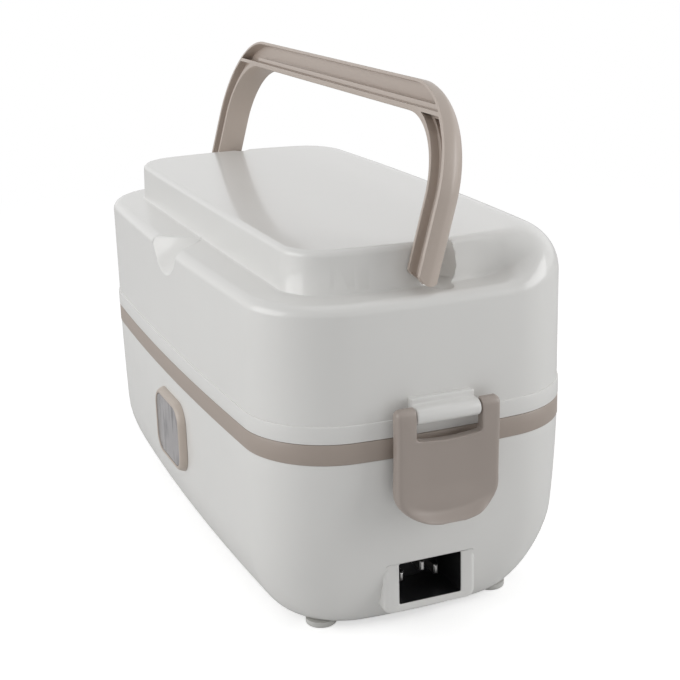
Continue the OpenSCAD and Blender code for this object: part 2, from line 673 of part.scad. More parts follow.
// The flat figure between two arches, t1 inside the outer edge and t2 outside the inner one
module arch_band(t1, t2) {
  difference() {
    arch(handle_w - t1, handle_reach - t1, bend_r - t1);
    arch(handle_in + t2, handle_reach - handle_thickness + t2,
      bend_r - handle_thickness + t2);
  }
}
module cut_flat(depth) {
  translate([0, handle_front + depth, 0]) rotate([90, 0, 0]) linear_extrude(depth + over)
    children();
}
module handle_upright() {
  difference() {
    union() {
      for (m = [0, 1]) mirror([m, 0, 0]) {
        // Leg
        translate([handle_in, handle_front, -foot_r]) linear_extrude(bend_z + foot_r)
          polygon(channel_profile());
        // Bend
        translate([handle_w - bend_r, handle_front, bend_z]) rotate([90, 0, 0])
          mirror([0, 0, 1]) rotate_extrude(angle = 90, $fn = 96)
          translate([bend_r - handle_thickness, 0]) polygon(channel_profile());
      }
      // Bar
      translate([-(handle_w - bend_r), handle_front, handle_reach - handle_thickness])
        rotate([90, 0, 90]) linear_extrude(2 * (handle_w - bend_r))
        polygon([for (p = channel_profile()) [p[1], p[0]]]);
    }
    // Deep channel in the legs, in two steps that follow the rounded back
    cut_flat(3.4) intersection() {
      arch_band(lip, 1.5);
      translate([-200, -20]) square([400, handle_reach - handle_thickness + 19]);
    }
    cut_flat(6.6) intersection() {
      arch_band(lip + 1.9, 1.5);
      translate([-200, -20]) square([400, handle_reach - handle_thickness + 19]);
    }
    // Shallow channel in the bar, beyond the cross ribs
    cut_flat(2.6) intersection() {
      arch_band(lip, 1);
      translate([-200, handle_reach - handle_thickness + 1.5]) square([400, 40]);
    }
    cut_flat(3.6) intersection() {
      arch_band(lip + 0.4, 1);
      translate([-200, handle_reach - handle_thickness + 4.2]) square([400, 40]);
    }
    // Rounded feet
    for (m = [0, 1]) mirror([m, 0, 0]) difference() {
      translate([handle_in - over, -20, -20]) cube([handle_thickness + 2 * over, 40, 20]);
      translate([handle_in - 2 * over, 0, 0]) rotate([0, 90, 0])
        cylinder(r = foot_r, h = handle_thickness + 4 * over);
    }
  }
  // Closed channel ends and pivot studs
  for (m = [0, 1]) mirror([m, 0, 0]) {
    translate([handle_in, 0, 0]) rotate([0, 90, 0]) cylinder(r = 4.4, h = 4);
    translate([pocket_x - 4.4, 0, 0]) rotate([0, 90, 0])
      cylinder(r = stud_radius, h = handle_in - pocket_x + 5);
  }
}
module handle() color([0.68, 0.63, 0.58]) {
  translate([0, 0, pivot_z]) rotate([-handle_tilt, 0, 0]) handle_upright();
}

// Latch: a curved plate with side flanges, two ears and a hook
latch_low = hinge_z + 3.4 - latch_length;
ear_gap = 0.4;
latch_skin = 2.6;
// Middle of the latch face, as [out from the end wall, down from the hinge]: a shallow hollow
latch_face = [[7.4, 8], [6.8, 18], [6.7, 25], [7.2, 31]];
function face_line(t) = [for (p = latch_face) [p[0] - t, hinge_z - p[1]]];
module latch_outline() {
  polygon(concat(
    [[3.2, hinge_z - 2], [3.2, hinge_z + 1.4], [4.4, hinge_z + 3.4], [6.4, hinge_z + 3.4],
      [7.3, hinge_z + 2.6], [7.6, hinge_z]],
    face_line(0),
    [[8.4, latch_low + 3.5], [10, latch_low], [5.5, latch_low], [3.9, latch_low + 3],
      [2.6, latch_low + 8], [2.3, latch_low + 14], [3, hinge_z - 18]]));
}
module latch_hollow() {
  polygon(concat(
    [[-2, hinge_z - window_drop - 3], [7.2 - latch_skin, hinge_z - window_drop - 3]],
    [for (q = face_line(latch_skin)) if (q[1] < hinge_z - window_drop - 4) q],
    [[8.4 - latch_skin, latch_low + 3.5], [10 - latch_skin, latch_low - over],
      [-2, latch_low - over]]));
}
// Front outline of the latch: straight sides and a bowed lower edge
belly = 11.5;
belly_power = 2.3;
module latch_front() {
  w = latch_width / 2;
  low = [for (k = [0:16]) let (a = 90 * k / 16, share = sin(a))
    [w * share, latch_low - 0.2 + belly * (1 - pow(1 - pow(share, belly_power), 1 / belly_power))]];
  polygon(concat([for (k = [16:-1:1]) [-low[k][0], low[k][1]]], low,
    [[w, hinge_z + 10], [-w, hinge_z + 10]]));
}
// Window for the hinge block: its lower edge sags in the middle
window_drop = 8.1;
window_sag = 1;
window_half = block_width / 2 + ear_gap;
module latch_window() {
  polygon(concat(
    [[-window_half, hinge_z + 12], [-window_half, hinge_z - window_drop + 1.2]],
    [for (y = [-1:0.2:1]) [(window_half - 1.2) * y,
      hinge_z - window_drop - window_sag * (1 - y * y)]],
    [[window_half, hinge_z - window_drop + 1.2], [window_half, hinge_z + 12]]));
}
module latch_body() {
  difference() {
    intersection() {
      translate([half_l, latch_width / 2, 0]) rotate([90, 0, 0]) linear_extrude(latch_width)
        latch_outline();
      translate([half_l - 10, 0, 0]) rotate([90, 0, 90]) linear_extrude(30) latch_front();
    }
    // Hollow back between the flanges
    translate([half_l, latch_width / 2 - 2, 0]) rotate([90, 0, 0])
      linear_extrude(latch_width - 4) latch_hollow();
    translate([half_l - 5, 0, 0]) rotate([90, 0, 90]) linear_extrude(20) latch_window();
    // Blind bores for the steel pin
    translate([hinge_x, latch_width / 2 - 2.2, hinge_z]) rotate([90, 0, 0])
      cylinder(r = latch_pin_radius + 0.05, h = latch_width - 4.4);
  }
  // Hook, just outside the rib of the collar
  translate([half_l + 2.6, -7.5, z_part - 9.4]) cube([2, 15, 3.2]);
}
module latch_right() color([0.64, 0.59, 0.55]) latch_body();
module latch_left() color([0.64, 0.59, 0.55]) rotate([0, 0, 180]) latch_body();
module latch_pin() {
  translate([hinge_x, latch_width / 2 - 2.4, hinge_z]) rotate([90, 0, 0])
    cylinder(r = latch_pin_radius, h = latch_width - 4.8);
}
module latch_pin_right() color([0.75, 0.75, 0.77]) latch_pin();
module latch_pin_left() color([0.75, 0.75, 0.77]) rotate([0, 0, 180]) latch_pin();

base_housing();
base_collar();
inner_liner();
heating_plate();
plate_seal();
ptc_heater();
insulation_pad();
heater_clamp();
clamp_screws();
thermostat();
thermal_fuse();
wire_live();
wire_neutral();
wire_earth();
indicator_wires();
power_inlet();
inlet_pins();
indicator_bezel();
indicator_lens();
indicator_board();
indicator_led();
feet();
base_screws();
food_tray();
tray_cover();
tray_seal();
steam_plug();
side_dish_tray();
lid_shell();
lid_seal();
handle();
latch_right();
latch_left();
latch_pin_right();
latch_pin_left();
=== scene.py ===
import bmesh
import bpy
import numpy as np
from math import acos, asin, atan2, copysign, cos, degrees, pi, radians, sin, sqrt
from mathutils import Matrix, Vector
from mathutils.bvhtree import BVHTree
from mathutils.interpolate import poly_3d_calc


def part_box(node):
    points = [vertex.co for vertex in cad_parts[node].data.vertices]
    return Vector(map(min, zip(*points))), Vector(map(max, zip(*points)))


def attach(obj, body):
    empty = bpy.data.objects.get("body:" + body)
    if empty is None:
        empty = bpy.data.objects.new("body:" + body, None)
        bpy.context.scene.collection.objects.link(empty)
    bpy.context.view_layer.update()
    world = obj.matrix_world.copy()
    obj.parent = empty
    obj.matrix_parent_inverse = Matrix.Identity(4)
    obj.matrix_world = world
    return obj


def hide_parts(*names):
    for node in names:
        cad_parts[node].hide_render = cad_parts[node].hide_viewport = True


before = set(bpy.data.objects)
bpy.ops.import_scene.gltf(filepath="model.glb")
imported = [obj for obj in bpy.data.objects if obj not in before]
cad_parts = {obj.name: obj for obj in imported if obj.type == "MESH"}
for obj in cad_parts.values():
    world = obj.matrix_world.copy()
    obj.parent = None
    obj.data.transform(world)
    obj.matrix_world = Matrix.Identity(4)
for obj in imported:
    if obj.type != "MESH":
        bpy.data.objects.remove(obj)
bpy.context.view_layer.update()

# Base housing: one white injection moulding with leaning ends and a rounded underside.
# Its wall is lofted through body outlines, then a boss for the power inlet is joined on
# and the openings for inlet and indicator are cut. Lengths here are in millimetres.
MM = 0.001


def box_of(node):
    """The low and the high corner of a node of the frame, in millimetres."""
    return [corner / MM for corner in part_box(node)]


low, high = box_of("base_housing")
half_l, half_w, z_collar = high
z_under = low.z
base_height = z_collar - z_under
wall, corner_radius, side_bow, end_bow = 2.4, 31.8, 4.0, 4.9
end_points, corner_points, side_points = 12, 24, 16


def arc(centre, radius, start, stop, count):
    """Points on an arc, in degrees, without the last one."""
    turn = np.radians(start + (stop - start) * np.arange(count) / count)
    return centre + radius * np.column_stack((np.cos(turn), np.sin(turn)))


def outline(a, b, bow_a, bow_b, corner):
    """A rounded body outline: bowed long sides and ends with fillets between them."""
    ra = (a * a + bow_a * bow_a) / (2 * bow_a)
    rb = (b * b + bow_b * bow_b) / (2 * bow_b)
    side, end = np.array((0, b - ra)), np.array((a - rb, 0))
    apart = np.linalg.norm(end - side)
    way = (end - side) / apart
    run = ((ra - corner) ** 2 - (rb - corner) ** 2 + apart ** 2) / (2 * apart)
    off = sqrt(max((ra - corner) ** 2 - run ** 2, 0))
    foot = side + way * run
    aside = off * np.array((-way[1], way[0]))
    fillet = max(foot + aside, foot - aside, key=sum)
    t_side, t_end = (degrees(atan2(*(fillet - spot)[::-1])) for spot in (side, end))
    quarter = np.vstack((arc(end, rb, 0, t_end, end_points),
                         arc(fillet, corner, t_end, t_side, corner_points),
                         arc(side, ra, t_side, 90, side_points), [(0, b)]))
    left = quarter[::-1] * (-1, 1)
    return np.vstack((quarter[:-1], left[:-1], -quarter[:-1], -left[:-1]))


def body_ring(ix, iy, corner):
    """The body outline moved inwards by ix at the ends and iy at the sides."""
    return outline(half_l - ix, half_w - iy, side_bow * (1 - iy / half_w),
                   end_bow * (1 - ix / half_l), corner)


def inset_ring(inset):
    return body_ring(inset, inset, max(corner_radius - inset, 3))


def insets(*pairs):
    """Levels of the body outline, from pairs of a height and an inset."""
    return [(z, inset_ring(inset)) for z, inset in pairs]


def worked(mesh, work):
    """A mesh after work() has changed it as a bmesh."""
    shape = bmesh.new()
    shape.from_mesh(mesh)
    work(shape)
    shape.to_mesh(mesh)
    shape.free()
    return mesh


def outward(mesh):
    """The mesh with all its faces looking outwards."""
    return worked(mesh, lambda shape: bmesh.ops.recalc_face_normals(shape, faces=shape.faces))


def solid(points, faces, name="part"):
    """A mesh from millimetre points."""
    mesh = bpy.data.meshes.new(name)
    mesh.from_pydata((np.array(points, float) * MM).tolist(), [], faces)
    return mesh


def skin(rings, closed=False):
    """A solid through rings of points, with both ends capped or the last ring joined to the first."""
    count, last = len(rings[0]), len(rings) - 1
    faces = [] if closed else [tuple(range(count))[::-1], tuple(range(count * last, count * last + count))]
    for level in range(last + closed):
        a, b = level * count, (level + 1) % len(rings) * count
        faces += [(a + j, a + (j + 1) % count, b + (j + 1) % count, b + j) for j in range(count)]
    return outward(solid([p for ring in rings for p in ring], faces))


def loft(levels):
    """A closed solid through [height, ring] levels."""
    return skin([[(x, y, z) for x, y in ring] for z, ring in levels])


def turns(count, stop=90):
    return [radians(stop * i / count) for i in range(count + 1)]


def put(name, data):
    """A new object in the scene."""
    item = bpy.data.objects.new(name, data)
    bpy.context.scene.collection.objects.link(item)
    return item


def combine(operation, first, *others):
    """Closed meshes joined, cut or intersected, as one new mesh."""
    for other in others:
        pair = [put("work", mesh) for mesh in (first, other)]
        step = pair[0].modifiers.new("step", "BOOLEAN")
        step.operation, step.object, step.solver = operation, pair[1], "EXACT"
        seen = pair[0].evaluated_get(bpy.context.evaluated_depsgraph_get())
        first = bpy.data.meshes.new_from_object(seen)
        for item in pair:
            bpy.data.objects.remove(item)
    return first


def joined(*meshes):
    """Several meshes as one, each kept as its own closed shell."""
    whole = bmesh.new()
    for mesh in meshes:
        whole.from_mesh(mesh)
    result = bpy.data.meshes.new("joined")
    whole.to_mesh(result)
    whole.free()
    return result


def prism(profile, start, stop, axis):
    """A closed profile drawn out along an axis: x takes (y, z), y takes (x, z), z takes (x, y)."""
    spot = "xyz".index(axis)
    return skin([[(*p[:spot], t, *p[spot:]) for p in profile] for t in (start, stop)])


def block(x0, x1, y0, y1, z0, z1):
    return prism([(x0, z0), (x1, z0), (x1, z1), (x0, z1)], y0, y1, "y")


def round_rect(width, height, radius, count=8):
    """A rounded rectangle round the origin."""
    x, y = width / 2 - radius, height / 2 - radius
    spots = ((x, y, 0), (-x, y, 90), (-x, -y, 180), (x, -y, 270))
    return np.vstack([arc((cx, cy), radius, t, t + 90 + 90 / count, count + 1) for cx, cy, t in spots])


def turned(mesh):
    """A copy for the other end, turned half round about the upright axis."""
    copy = mesh.copy()
    copy.transform(Matrix.Rotation(pi, 4, "Z"))
    return copy


def shaded(mesh, sharp=32):
    """Smooth shading with the edges over that angle kept crisp."""
    mesh.shade_smooth()
    mesh.set_sharp_from_angle(angle=radians(sharp))
    return mesh


def eased(mesh, width, angle=40, segments=3, where=None, merge=0.02, flatten=True):
    """A mesh with crisp edges rounded, all of them or those whose middle where() picks."""
    def work(shape):
        bmesh.ops.remove_doubles(shape, verts=shape.verts, dist=merge * MM)
        if flatten:
            bmesh.ops.dissolve_limit(shape, angle_limit=radians(0.05), verts=shape.verts,
                                     edges=shape.edges, delimit={"NORMAL"})
        crisp = [e for e in shape.edges if len(e.link_faces) == 2
                 and e.calc_face_angle(0) > radians(angle)
                 and (where is None or where(*((e.verts[0].co + e.verts[1].co) / 2 / MM)))]
        bmesh.ops.bevel(shape, geom=crisp, offset=width * MM, offset_type="OFFSET", profile=0.5,
                        segments=segments, affect="EDGES", clamp_overlap=False)
    return worked(mesh, work)


def surface(mesh):
    """A search tree for the nearest point of a mesh."""
    return BVHTree.FromPolygons([v.co for v in mesh.vertices], [p.vertices for p in mesh.polygons])


def as_before(mesh, source, turn=20):
    """Smooth shading for a cut mesh, with the corner normals of the surface it was cut from."""
    shaded(mesh)
    shaded(source)
    tree, lent = surface(source), source.corner_normals
    cap_corners, cap_near, cap_same, lent_near = 8, 0.2 * MM, 0.97, 0.3 * MM
    normals = [n.vector.copy() for n in mesh.corner_normals]
    for face in mesh.polygons:
        _, _, index, apart = tree.find_nearest(face.center)
        cap = source.polygons[index]
        on_cap = (len(cap.vertices) > cap_corners and apart < cap_near
                  and cap.normal.dot(face.normal) > cap_same)
        for loop in face.loop_indices:
            spot = mesh.vertices[mesh.loops[loop].vertex_index].co
            near, _, index, apart = tree.find_nearest(spot.lerp(face.center, 0.002))
            whole = cap if on_cap else source.polygons[index]
            other = apart > lent_near or whole.normal.dot(face.normal) < cos(radians(turn))
            if other and not on_cap:
                continue
            if len(whole.vertices) > cap_corners:
                normals[loop] = whole.normal.copy()
                continue
            shares = poly_3d_calc([source.vertices[v].co for v in whole.vertices], near)
            normal = sum((lent[i].vector * w for i, w in zip(whole.loop_indices, shares)), Vector())
            normals[loop] = normal.normalized()
    mesh.normals_split_custom_set(normals)
    return mesh


def place(name, mesh, body, material, slot, *nodes):
    """Puts a finished mesh on its body, in its material, for the nodes that it stands for."""
    mesh.name = name
    mesh.materials.clear()
    mesh.materials.append(material)
    piece = put(name, mesh)
    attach(piece, body)
    if nodes:
        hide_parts(*nodes)


def give(tree, socket, value):
    """Links a socket to another one, or sets its value."""
    if isinstance(value, bpy.types.NodeSocket):
        tree.links.new(value, socket)
    else:
        socket.default_value = value


def fed(tree, node, **inputs):
    """A shader node with its inputs given."""
    for label, value in inputs.items():
        give(tree, node.inputs[label.replace("_", " ")], value)
    return node


def added(tree, kind, out=None, **inputs):
    """A new shader node with its inputs given, or the output of it that is asked for."""
    node = fed(tree, tree.nodes.new("ShaderNode" + kind), **inputs)
    return node.outputs[out] if out else node


def new_finish(name):
    """A new material with its node tree and its shader."""
    material = bpy.data.materials.new(name)
    material.use_nodes = True
    return material, material.node_tree, material.node_tree.nodes["Principled BSDF"]


def moulded(name, colour, roughness, mottle=0.02, texture=0.03, grain=1400, coat=0.0, coat_rough=0.12,
            shine=0.5):
    """Moulded plastic: a faint flow mottle in the colour, an uneven gloss and a fine tool texture."""
    material, tree, shader = new_finish(name)
    where = added(tree, "TexCoord", "Object")
    flow = added(tree, "TexNoise", "Fac", Vector=where, Scale=22, Detail=3)
    tint = added(tree, "ValToRGB", Fac=flow)
    for stop, spot, share in zip(tint.color_ramp.elements, (0.3, 0.7), (1 - mottle, 1 + mottle)):
        stop.position = spot
        stop.color = (*[min(c * share, 1) for c in colour], 1)
    fine = added(tree, "TexNoise", "Fac", Vector=where, Scale=grain, Detail=2)
    gloss = added(tree, "MapRange", "Result", Value=flow, To_Min=roughness * 0.88, To_Max=roughness * 1.12)
    bump = added(tree, "Bump", "Normal", Height=fine, Strength=texture, Distance=0.0002)
    fed(tree, shader, Base_Color=tint.outputs["Color"], Roughness=gloss, Normal=bump,
        Specular_IOR_Level=shine, Coat_Weight=coat, Coat_Roughness=coat_rough)
    if coat:
        wave = added(tree, "TexNoise", "Fac", Vector=where, Scale=45)
        swell = added(tree, "Bump", "Normal", Height=wave, Strength=0.12, Distance=0.0006)
        fed(tree, shader, Coat_Normal=swell)
    return material


# The underside is rounded: the ends lean in over the whole height, the sides only low down
end_lean, end_round, end_power, end_share = 8.9, 11.2, 1.8, 0.9
side_round, side_power, side_share = 17.9, 1.54, 0.446
bottom_corner = 23.4


def curved_in(share, power):
    """How far a rounding of that power has turned in at a share of its length, from 0 to 1."""
    return 1 - (1 - share ** power) ** (1 / power)


def base_ring(depth, inset):
    """The outline of the base at a depth under the collar, moved inwards."""
    def rounding(radius, height, power):
        return radius * curved_in(min(max((depth - (base_height - height)) / height, 0), 1), power)
    ix = end_lean * depth / base_height + rounding(end_round, end_share * base_height, end_power)
    iy = rounding(side_round, side_share * base_height, side_power)
    corner = corner_radius - (corner_radius - bottom_corner) * depth / base_height
    return body_ring(ix + inset, iy + inset, corner - inset)


depth_steps = [base_height * sin(radians(t)) for t in
               (90, 88, 85, 82, 79, 75.5, 72, 68, 64, 60, 56, 52, 48, 44, 40, 36, 32, 27, 22, 17, 12, 7, 3)]
outer = [(z_under, base_ring(base_height, 12)), (z_under, base_ring(base_height, 2))]
outer += [(z_collar - d, base_ring(d, 0)) for d in depth_steps]
outer += [(z_collar - 0.4, base_ring(0.4, 0)), (z_collar - 0.1, base_ring(0, 0.08)),
          (z_collar, base_ring(0, 0.4))]
inner = [(z_collar - d * (1 - wall / base_height), base_ring(d, wall)) for d in [0] + depth_steps[::-1]]
housing = loft(outer + inner)
whole_housing = housing.copy()

inlet_low, inlet_high = box_of("power_inlet")
case_wall = 1.2
inlet_z = (inlet_low.z + inlet_high.z) / 2
inlet_face = inlet_high.x
inlet_width = inlet_high.y - inlet_low.y - 2 * case_wall
inlet_height = inlet_high.z - inlet_low.z - 2 * case_wall
boss_x = inlet_face + wall
boss_half = inlet_width / 2 + 5.7
boss_z0 = inlet_z - inlet_height / 2 - 2.9
boss_z1 = inlet_z + inlet_height / 2 + 0.5
boss_corner = 2.4
boss_soft_x, boss_soft_y, boss_soft_z = 1.5, 1.8, 0.35


def boss_shape(inset_y=0.0, inset_z=0.0):
    shape = round_rect(2 * (boss_half - inset_y), boss_z1 - boss_z0 - 2 * inset_z, boss_corner)
    return shape + (0, (boss_z0 + boss_z1) / 2)


soft_face = [(boss_x - 10, 0, 0)]
soft_face += [(boss_x - boss_soft_x * (1 - sin(t)), boss_soft_y * (1 - cos(t)),
               boss_soft_z * (1 - cos(t))) for t in turns(8)]
plate = skin([[(x, y, z) for y, z in boss_shape(iy, iz)] for x, iy, iz in soft_face])
housing = combine("UNION", housing, plate)
housing = combine("DIFFERENCE", housing, prism(boss_shape(), boss_x, half_l + 1, "x"))
opening = round_rect(inlet_width, inlet_height, 0.6, 4) + (0, inlet_z)
room = round_rect(inlet_width + 3.2, inlet_height + 3.2, 0.4, 2) + (0, inlet_z)
housing = combine("DIFFERENCE", housing, prism(opening, inlet_face - 3, half_l, "x"),
                  prism(room, inlet_low.x - 2, inlet_face, "x"))
window_low, window_high = box_of("indicator_bezel")
indicator_z = (window_low.z + window_high.z) / 2
indicator_w = window_high.x - window_low.x
indicator_h = window_high.z - window_low.z
hole = round_rect(indicator_w - 8, indicator_h - 8, 4.5) + (0, indicator_z)
housing = combine("DIFFERENCE", housing, prism(hole, -half_w - 6, -half_w + 6, "y"))
white = moulded("shell_white", (0.80, 0.795, 0.775), 0.34, 0.008, 0.02, 900, 0.5, 0.09)
housing = eased(housing, 0.3, 30, 3, lambda x, y, z: x > inlet_face + 0.6 and abs(y) < boss_half + 1
                and z < boss_z1 + 1, 0.1)
place("base_housing_shell", as_before(housing, whole_housing), "base", white, "shell_white", "base_housing")

# Collar: a satin beige moulding that caps the base wall and carries the heated liner.
# It is a band round the body, and a rib stands out at each end for the hook of the latch.
z_part = box_of("base_collar")[1].z
rib_half, rib_out, rib_top, rib_bottom = 8, 2.2, z_part - 2.6, z_part - 5.6


def tube_band(outer_inset, inner_inset, z0, z1, ease=0.3):
    """A band that follows the body between two insets, a closed tube with eased edges."""
    soft = ease * 0.3
    section = [(outer_inset + ease, z0), (outer_inset + soft, z0 + soft), (outer_inset, z0 + ease),
               (outer_inset, z1 - ease), (outer_inset + soft, z1 - soft), (outer_inset + ease, z1),
               (inner_inset - ease, z1), (inner_inset, z1 - ease), (inner_inset, z0 + ease),
               (inner_inset - ease, z0)]
    return skin([[(x, y, z) for x, y in inset_ring(i)] for i, z in section], closed=True)


rib = [(half_l - 3, rib_bottom), (half_l + rib_out, rib_bottom), (half_l + rib_out, rib_top - 0.6),
       (half_l + rib_out - 0.8, rib_top), (half_l - 3, rib_top)]
rib = eased(prism(rib, -rib_half, rib_half, "y"), 0.4)
collar = joined(tube_band(-0.2, 6.4, z_collar, z_part), tube_band(6.4, 8.6, z_collar, z_part - 1.5),
                tube_band(wall + 0.8, wall + 2.6, z_collar - 4, z_collar + 0.1), rib, turned(rib))
beige = moulded("collar_beige", (0.385, 0.322, 0.278), 0.42, 0.012, 0.06, 1800, shine=0.8)
place("base_collar_band", shaded(collar), "base", beige, "collar_beige", "base_collar")

# Power inlet: a black moulded socket behind the boss, with three plated blades.
# The blades are pressed through its back wall, the earth blade a little higher and longer.
black = moulded("inlet_black", (0.012, 0.012, 0.013), 0.35, 0.1, 0.1, 1500)
lining, back_wall = 0.15, 2


def inlet_prism(grow, corner, start, stop):
    """The opening of the inlet, made larger all round and drawn out along x."""
    shape = round_rect(inlet_width + 2 * grow, inlet_height + 2 * grow, corner, 4)
    return prism(shape + (0, inlet_z), start, stop, "x")


cell = inlet_prism(-lining, 0.5, inlet_low.x + back_wall, boss_x + 1)
case = inlet_prism(case_wall, 1, inlet_low.x, inlet_face)
sleeve = inlet_prism(-0.01, 0.6, inlet_face - 1, boss_x - 0.35)
socket = combine("DIFFERENCE", combine("UNION", case, sleeve), cell)
place("power_inlet_socket", shaded(socket), "base", black, "inlet_black", "power_inlet")


def metal(name, colour, roughness, stretch=(1, 1, 1), rings=0):
    """Bare or plated metal: brushed along one axis, or turned in fine rings about Z."""
    material, tree, shader = new_finish(name)
    lay = added(tree, "Mapping", "Vector", Vector=added(tree, "TexCoord", "Object"), Scale=stretch)
    if rings:
        marks = added(tree, "TexWave", Vector=lay, Scale=rings, Distortion=1.5)
        marks.wave_type, marks.rings_direction = "RINGS", "Z"
    else:
        marks = added(tree, "TexNoise", Vector=lay, Scale=300, Detail=4)
    marks = marks.outputs["Fac"]
    gloss = added(tree, "MapRange", "Result", Value=marks, To_Min=roughness * 0.75, To_Max=roughness * 1.25)
    bump = added(tree, "Bump", "Normal", Height=marks, Strength=0.06, Distance=0.0002)
    fed(tree, shader, Metallic=1, Base_Color=(*colour, 1), Roughness=gloss, Normal=bump)
    return material


pins_low, pins_high = box_of("inlet_pins")
pin_pitch, pin_thick, pin_tall, line_short = 14, 1.9, 3.9, 3
tip_long, tip_thick, tip_tall = 0.7, 0.8, 2.7


def blade(y, z, x1):
    """One flat blade with a chamfered tip."""
    return skin([[(x, y + a * w / 2, z + b * h / 2) for a, b in ((-1, -1), (1, -1), (1, 1), (-1, 1))]
                 for x, w, h in ((pins_low.x, pin_thick, pin_tall), (x1 - tip_long, pin_thick, pin_tall),
                                 (x1, tip_thick, tip_tall))])


line_z, earth_z = pins_low.z + pin_tall / 2, pins_high.z - pin_tall / 2
blades = joined(blade(0, earth_z, pins_high.x),
                *[blade(s * pin_pitch / 2, line_z, pins_high.x - line_short) for s in (-1, 1)])
nickel = metal("pin_metal", (0.62, 0.61, 0.60), 0.3, (0.1, 1, 1))
place("inlet_blades", shaded(eased(blades, 0.15)), "base", nickel, "pin_metal", "inlet_pins")

# Indicator: a beige bezel with a rounded lip snapped into the front wall, and a smoky window.
# The window is an inlaid plate with faint upright strokes in it, nearly flush with the lip.
bezel_tan = moulded("bezel_beige", (0.52, 0.45, 0.39), 0.4, 0.012, 0.05, 1800, shine=0.8)
bezel_face = window_low.y
wall_face = -half_w
bezel_corner, bezel_lip, collar_in, collar_out, collar_deep, pane_deep = 8.5, 2.4, 4.3, 5.7, 4.8, 0.6


def frame_ring(inset, y):
    shape = round_rect(indicator_w - 2 * inset, indicator_h - 2 * inset, max(bezel_corner - inset, 3), 12)
    return [(x, y, z + indicator_z) for x, z in shape]


# The slope of the lip, as [from the rim, height over the wall]
slope = [(0, 0), (0.05, 0.35), (0.2, 0.9), (0.45, 1.5), (0.8, 2.1), (1.15, 2.5), (1.5, 2.78), (1.8, 2.9),
         (2.1, 2.88), (bezel_lip, 2.7)]
proud = (wall_face - bezel_face) / max(y for _, y in slope)
section = [(t, wall_face - proud * y) for t, y in slope]
section += [(bezel_lip, wall_face - pane_deep), (collar_out, wall_face - pane_deep),
            (collar_out, wall_face + collar_deep), (collar_in, wall_face + collar_deep),
            (collar_in, wall_face)]
bezel = skin([frame_ring(t, y) for t, y in section], closed=True)
place("indicator_bezel_ring", shaded(bezel), "base", bezel_tan, "bezel_beige", "indicator_bezel")

smoke = moulded("lens_grey", (0.36, 0.345, 0.35), 0.25, 0.05, 0.0, 900, 0.3)
tree = smoke.node_tree
shader = tree.nodes["Principled BSDF"]
tint = shader.inputs["Base Color"].links[0].from_socket
squeeze = added(tree, "Mapping", "Vector", Vector=added(tree, "TexCoord", "Object"), Scale=(230, 0, 55))
strokes = added(tree, "ValToRGB", Fac=added(tree, "TexNoise", "Fac", Vector=squeeze, Scale=1, Detail=2))
dark, clear = strokes.color_ramp.elements
dark.position, clear.position, dark.color = 0.30, 0.52, (0.42, 0.42, 0.43, 1)
mix = added(tree, "Mix")
mix.data_type, mix.blend_type = "RGBA", "MULTIPLY"
fed(tree, mix, Factor=1, A=tint, B=strokes.outputs["Color"])
fed(tree, shader, Base_Color=mix.outputs["Result"])
pane = prism(round_rect(indicator_w - 2 * bezel_lip - 0.1, indicator_h - 2 * bezel_lip - 0.1,
                        bezel_corner - 2.05, 12) + (0, indicator_z),
             bezel_face + 0.3, wall_face - pane_deep, "y")
place("indicator_window", shaded(eased(pane, 0.2)), "base", smoke, "lens_grey", "indicator_lens")

# Lid shell: one white injection moulding whose ledge fades into one wide curve at the back.
# Pockets at both ends take the feet of the handle, a notch in front frees the folded bar, and
# a block with a barrel at each end carries the latch.
z_top = box_of("lid_shell")[1].z
z_strip, z_ledge, seam = z_part + 6.4, z_part + 47.4, 0.1
lid_in, edge_round, top_round, draft = 0.2, 4.0, 2.2, 0.4
lid_skin = lid_in + wall
top_a, top_b, top_corner, top_side_bow, top_end_bow = half_l - 12.8, half_w - 16, 18, 0.8, 4.2
back_round, back_start, back_early, back_end, cap_past = 17.0, 28, 9, 50.0, 0.7


def top_ring(inset):
    return outline(top_a - inset, top_b - inset, top_side_bow, top_end_bow, top_corner - inset)


def ramp(x):
    """A soft step from 0 to 1."""
    x = min(max(x, 0), 1)
    return x * x * (3 - 2 * x)


def round_backed(levels, first, depth):
    """Rings of points: ledge and raised top in front, one wide curve over the back of the lid."""
    rings, radius = [], back_round - depth
    for k, (z, ring) in enumerate(levels):
        t = pi / 2 * min(max(k - first, 0) / (len(levels) - 2 - first), 1)
        past = cap_past if k == len(levels) - 1 else 0
        curve = inset_ring(lid_in + depth + radius * (1 - cos(t)) + past)
        rise = z_top - depth - radius * (1 - sin(t))
        start = back_start - back_early * t
        shares = [ramp((y - start) / (back_end - start)) for _, y in inset_ring(0)]
        rings.append([(x, y, z) if k < first or not w else
                      (x + (far_x - x) * w, y + (far_y - y) * w, z + (rise - z) * w)
                      for (x, y), (far_x, far_y), w in zip(ring, curve, shares)])
    return rings


def between(level, after, count):
    """Levels evenly set between two others."""
    return [(level[0] + (after[0] - level[0]) * t, np.array(level[1]) * (1 - t) + np.array(after[1]) * t)
            for t in np.arange(1, count + 1) / (count + 1)]


def quarter_round(z, radius, count, ring, inset):
    """Levels of a convex quarter round that ends flat at z."""
    return [(z - radius * (1 - sin(t)), ring(inset + radius * (1 - cos(t)))) for t in turns(count)]


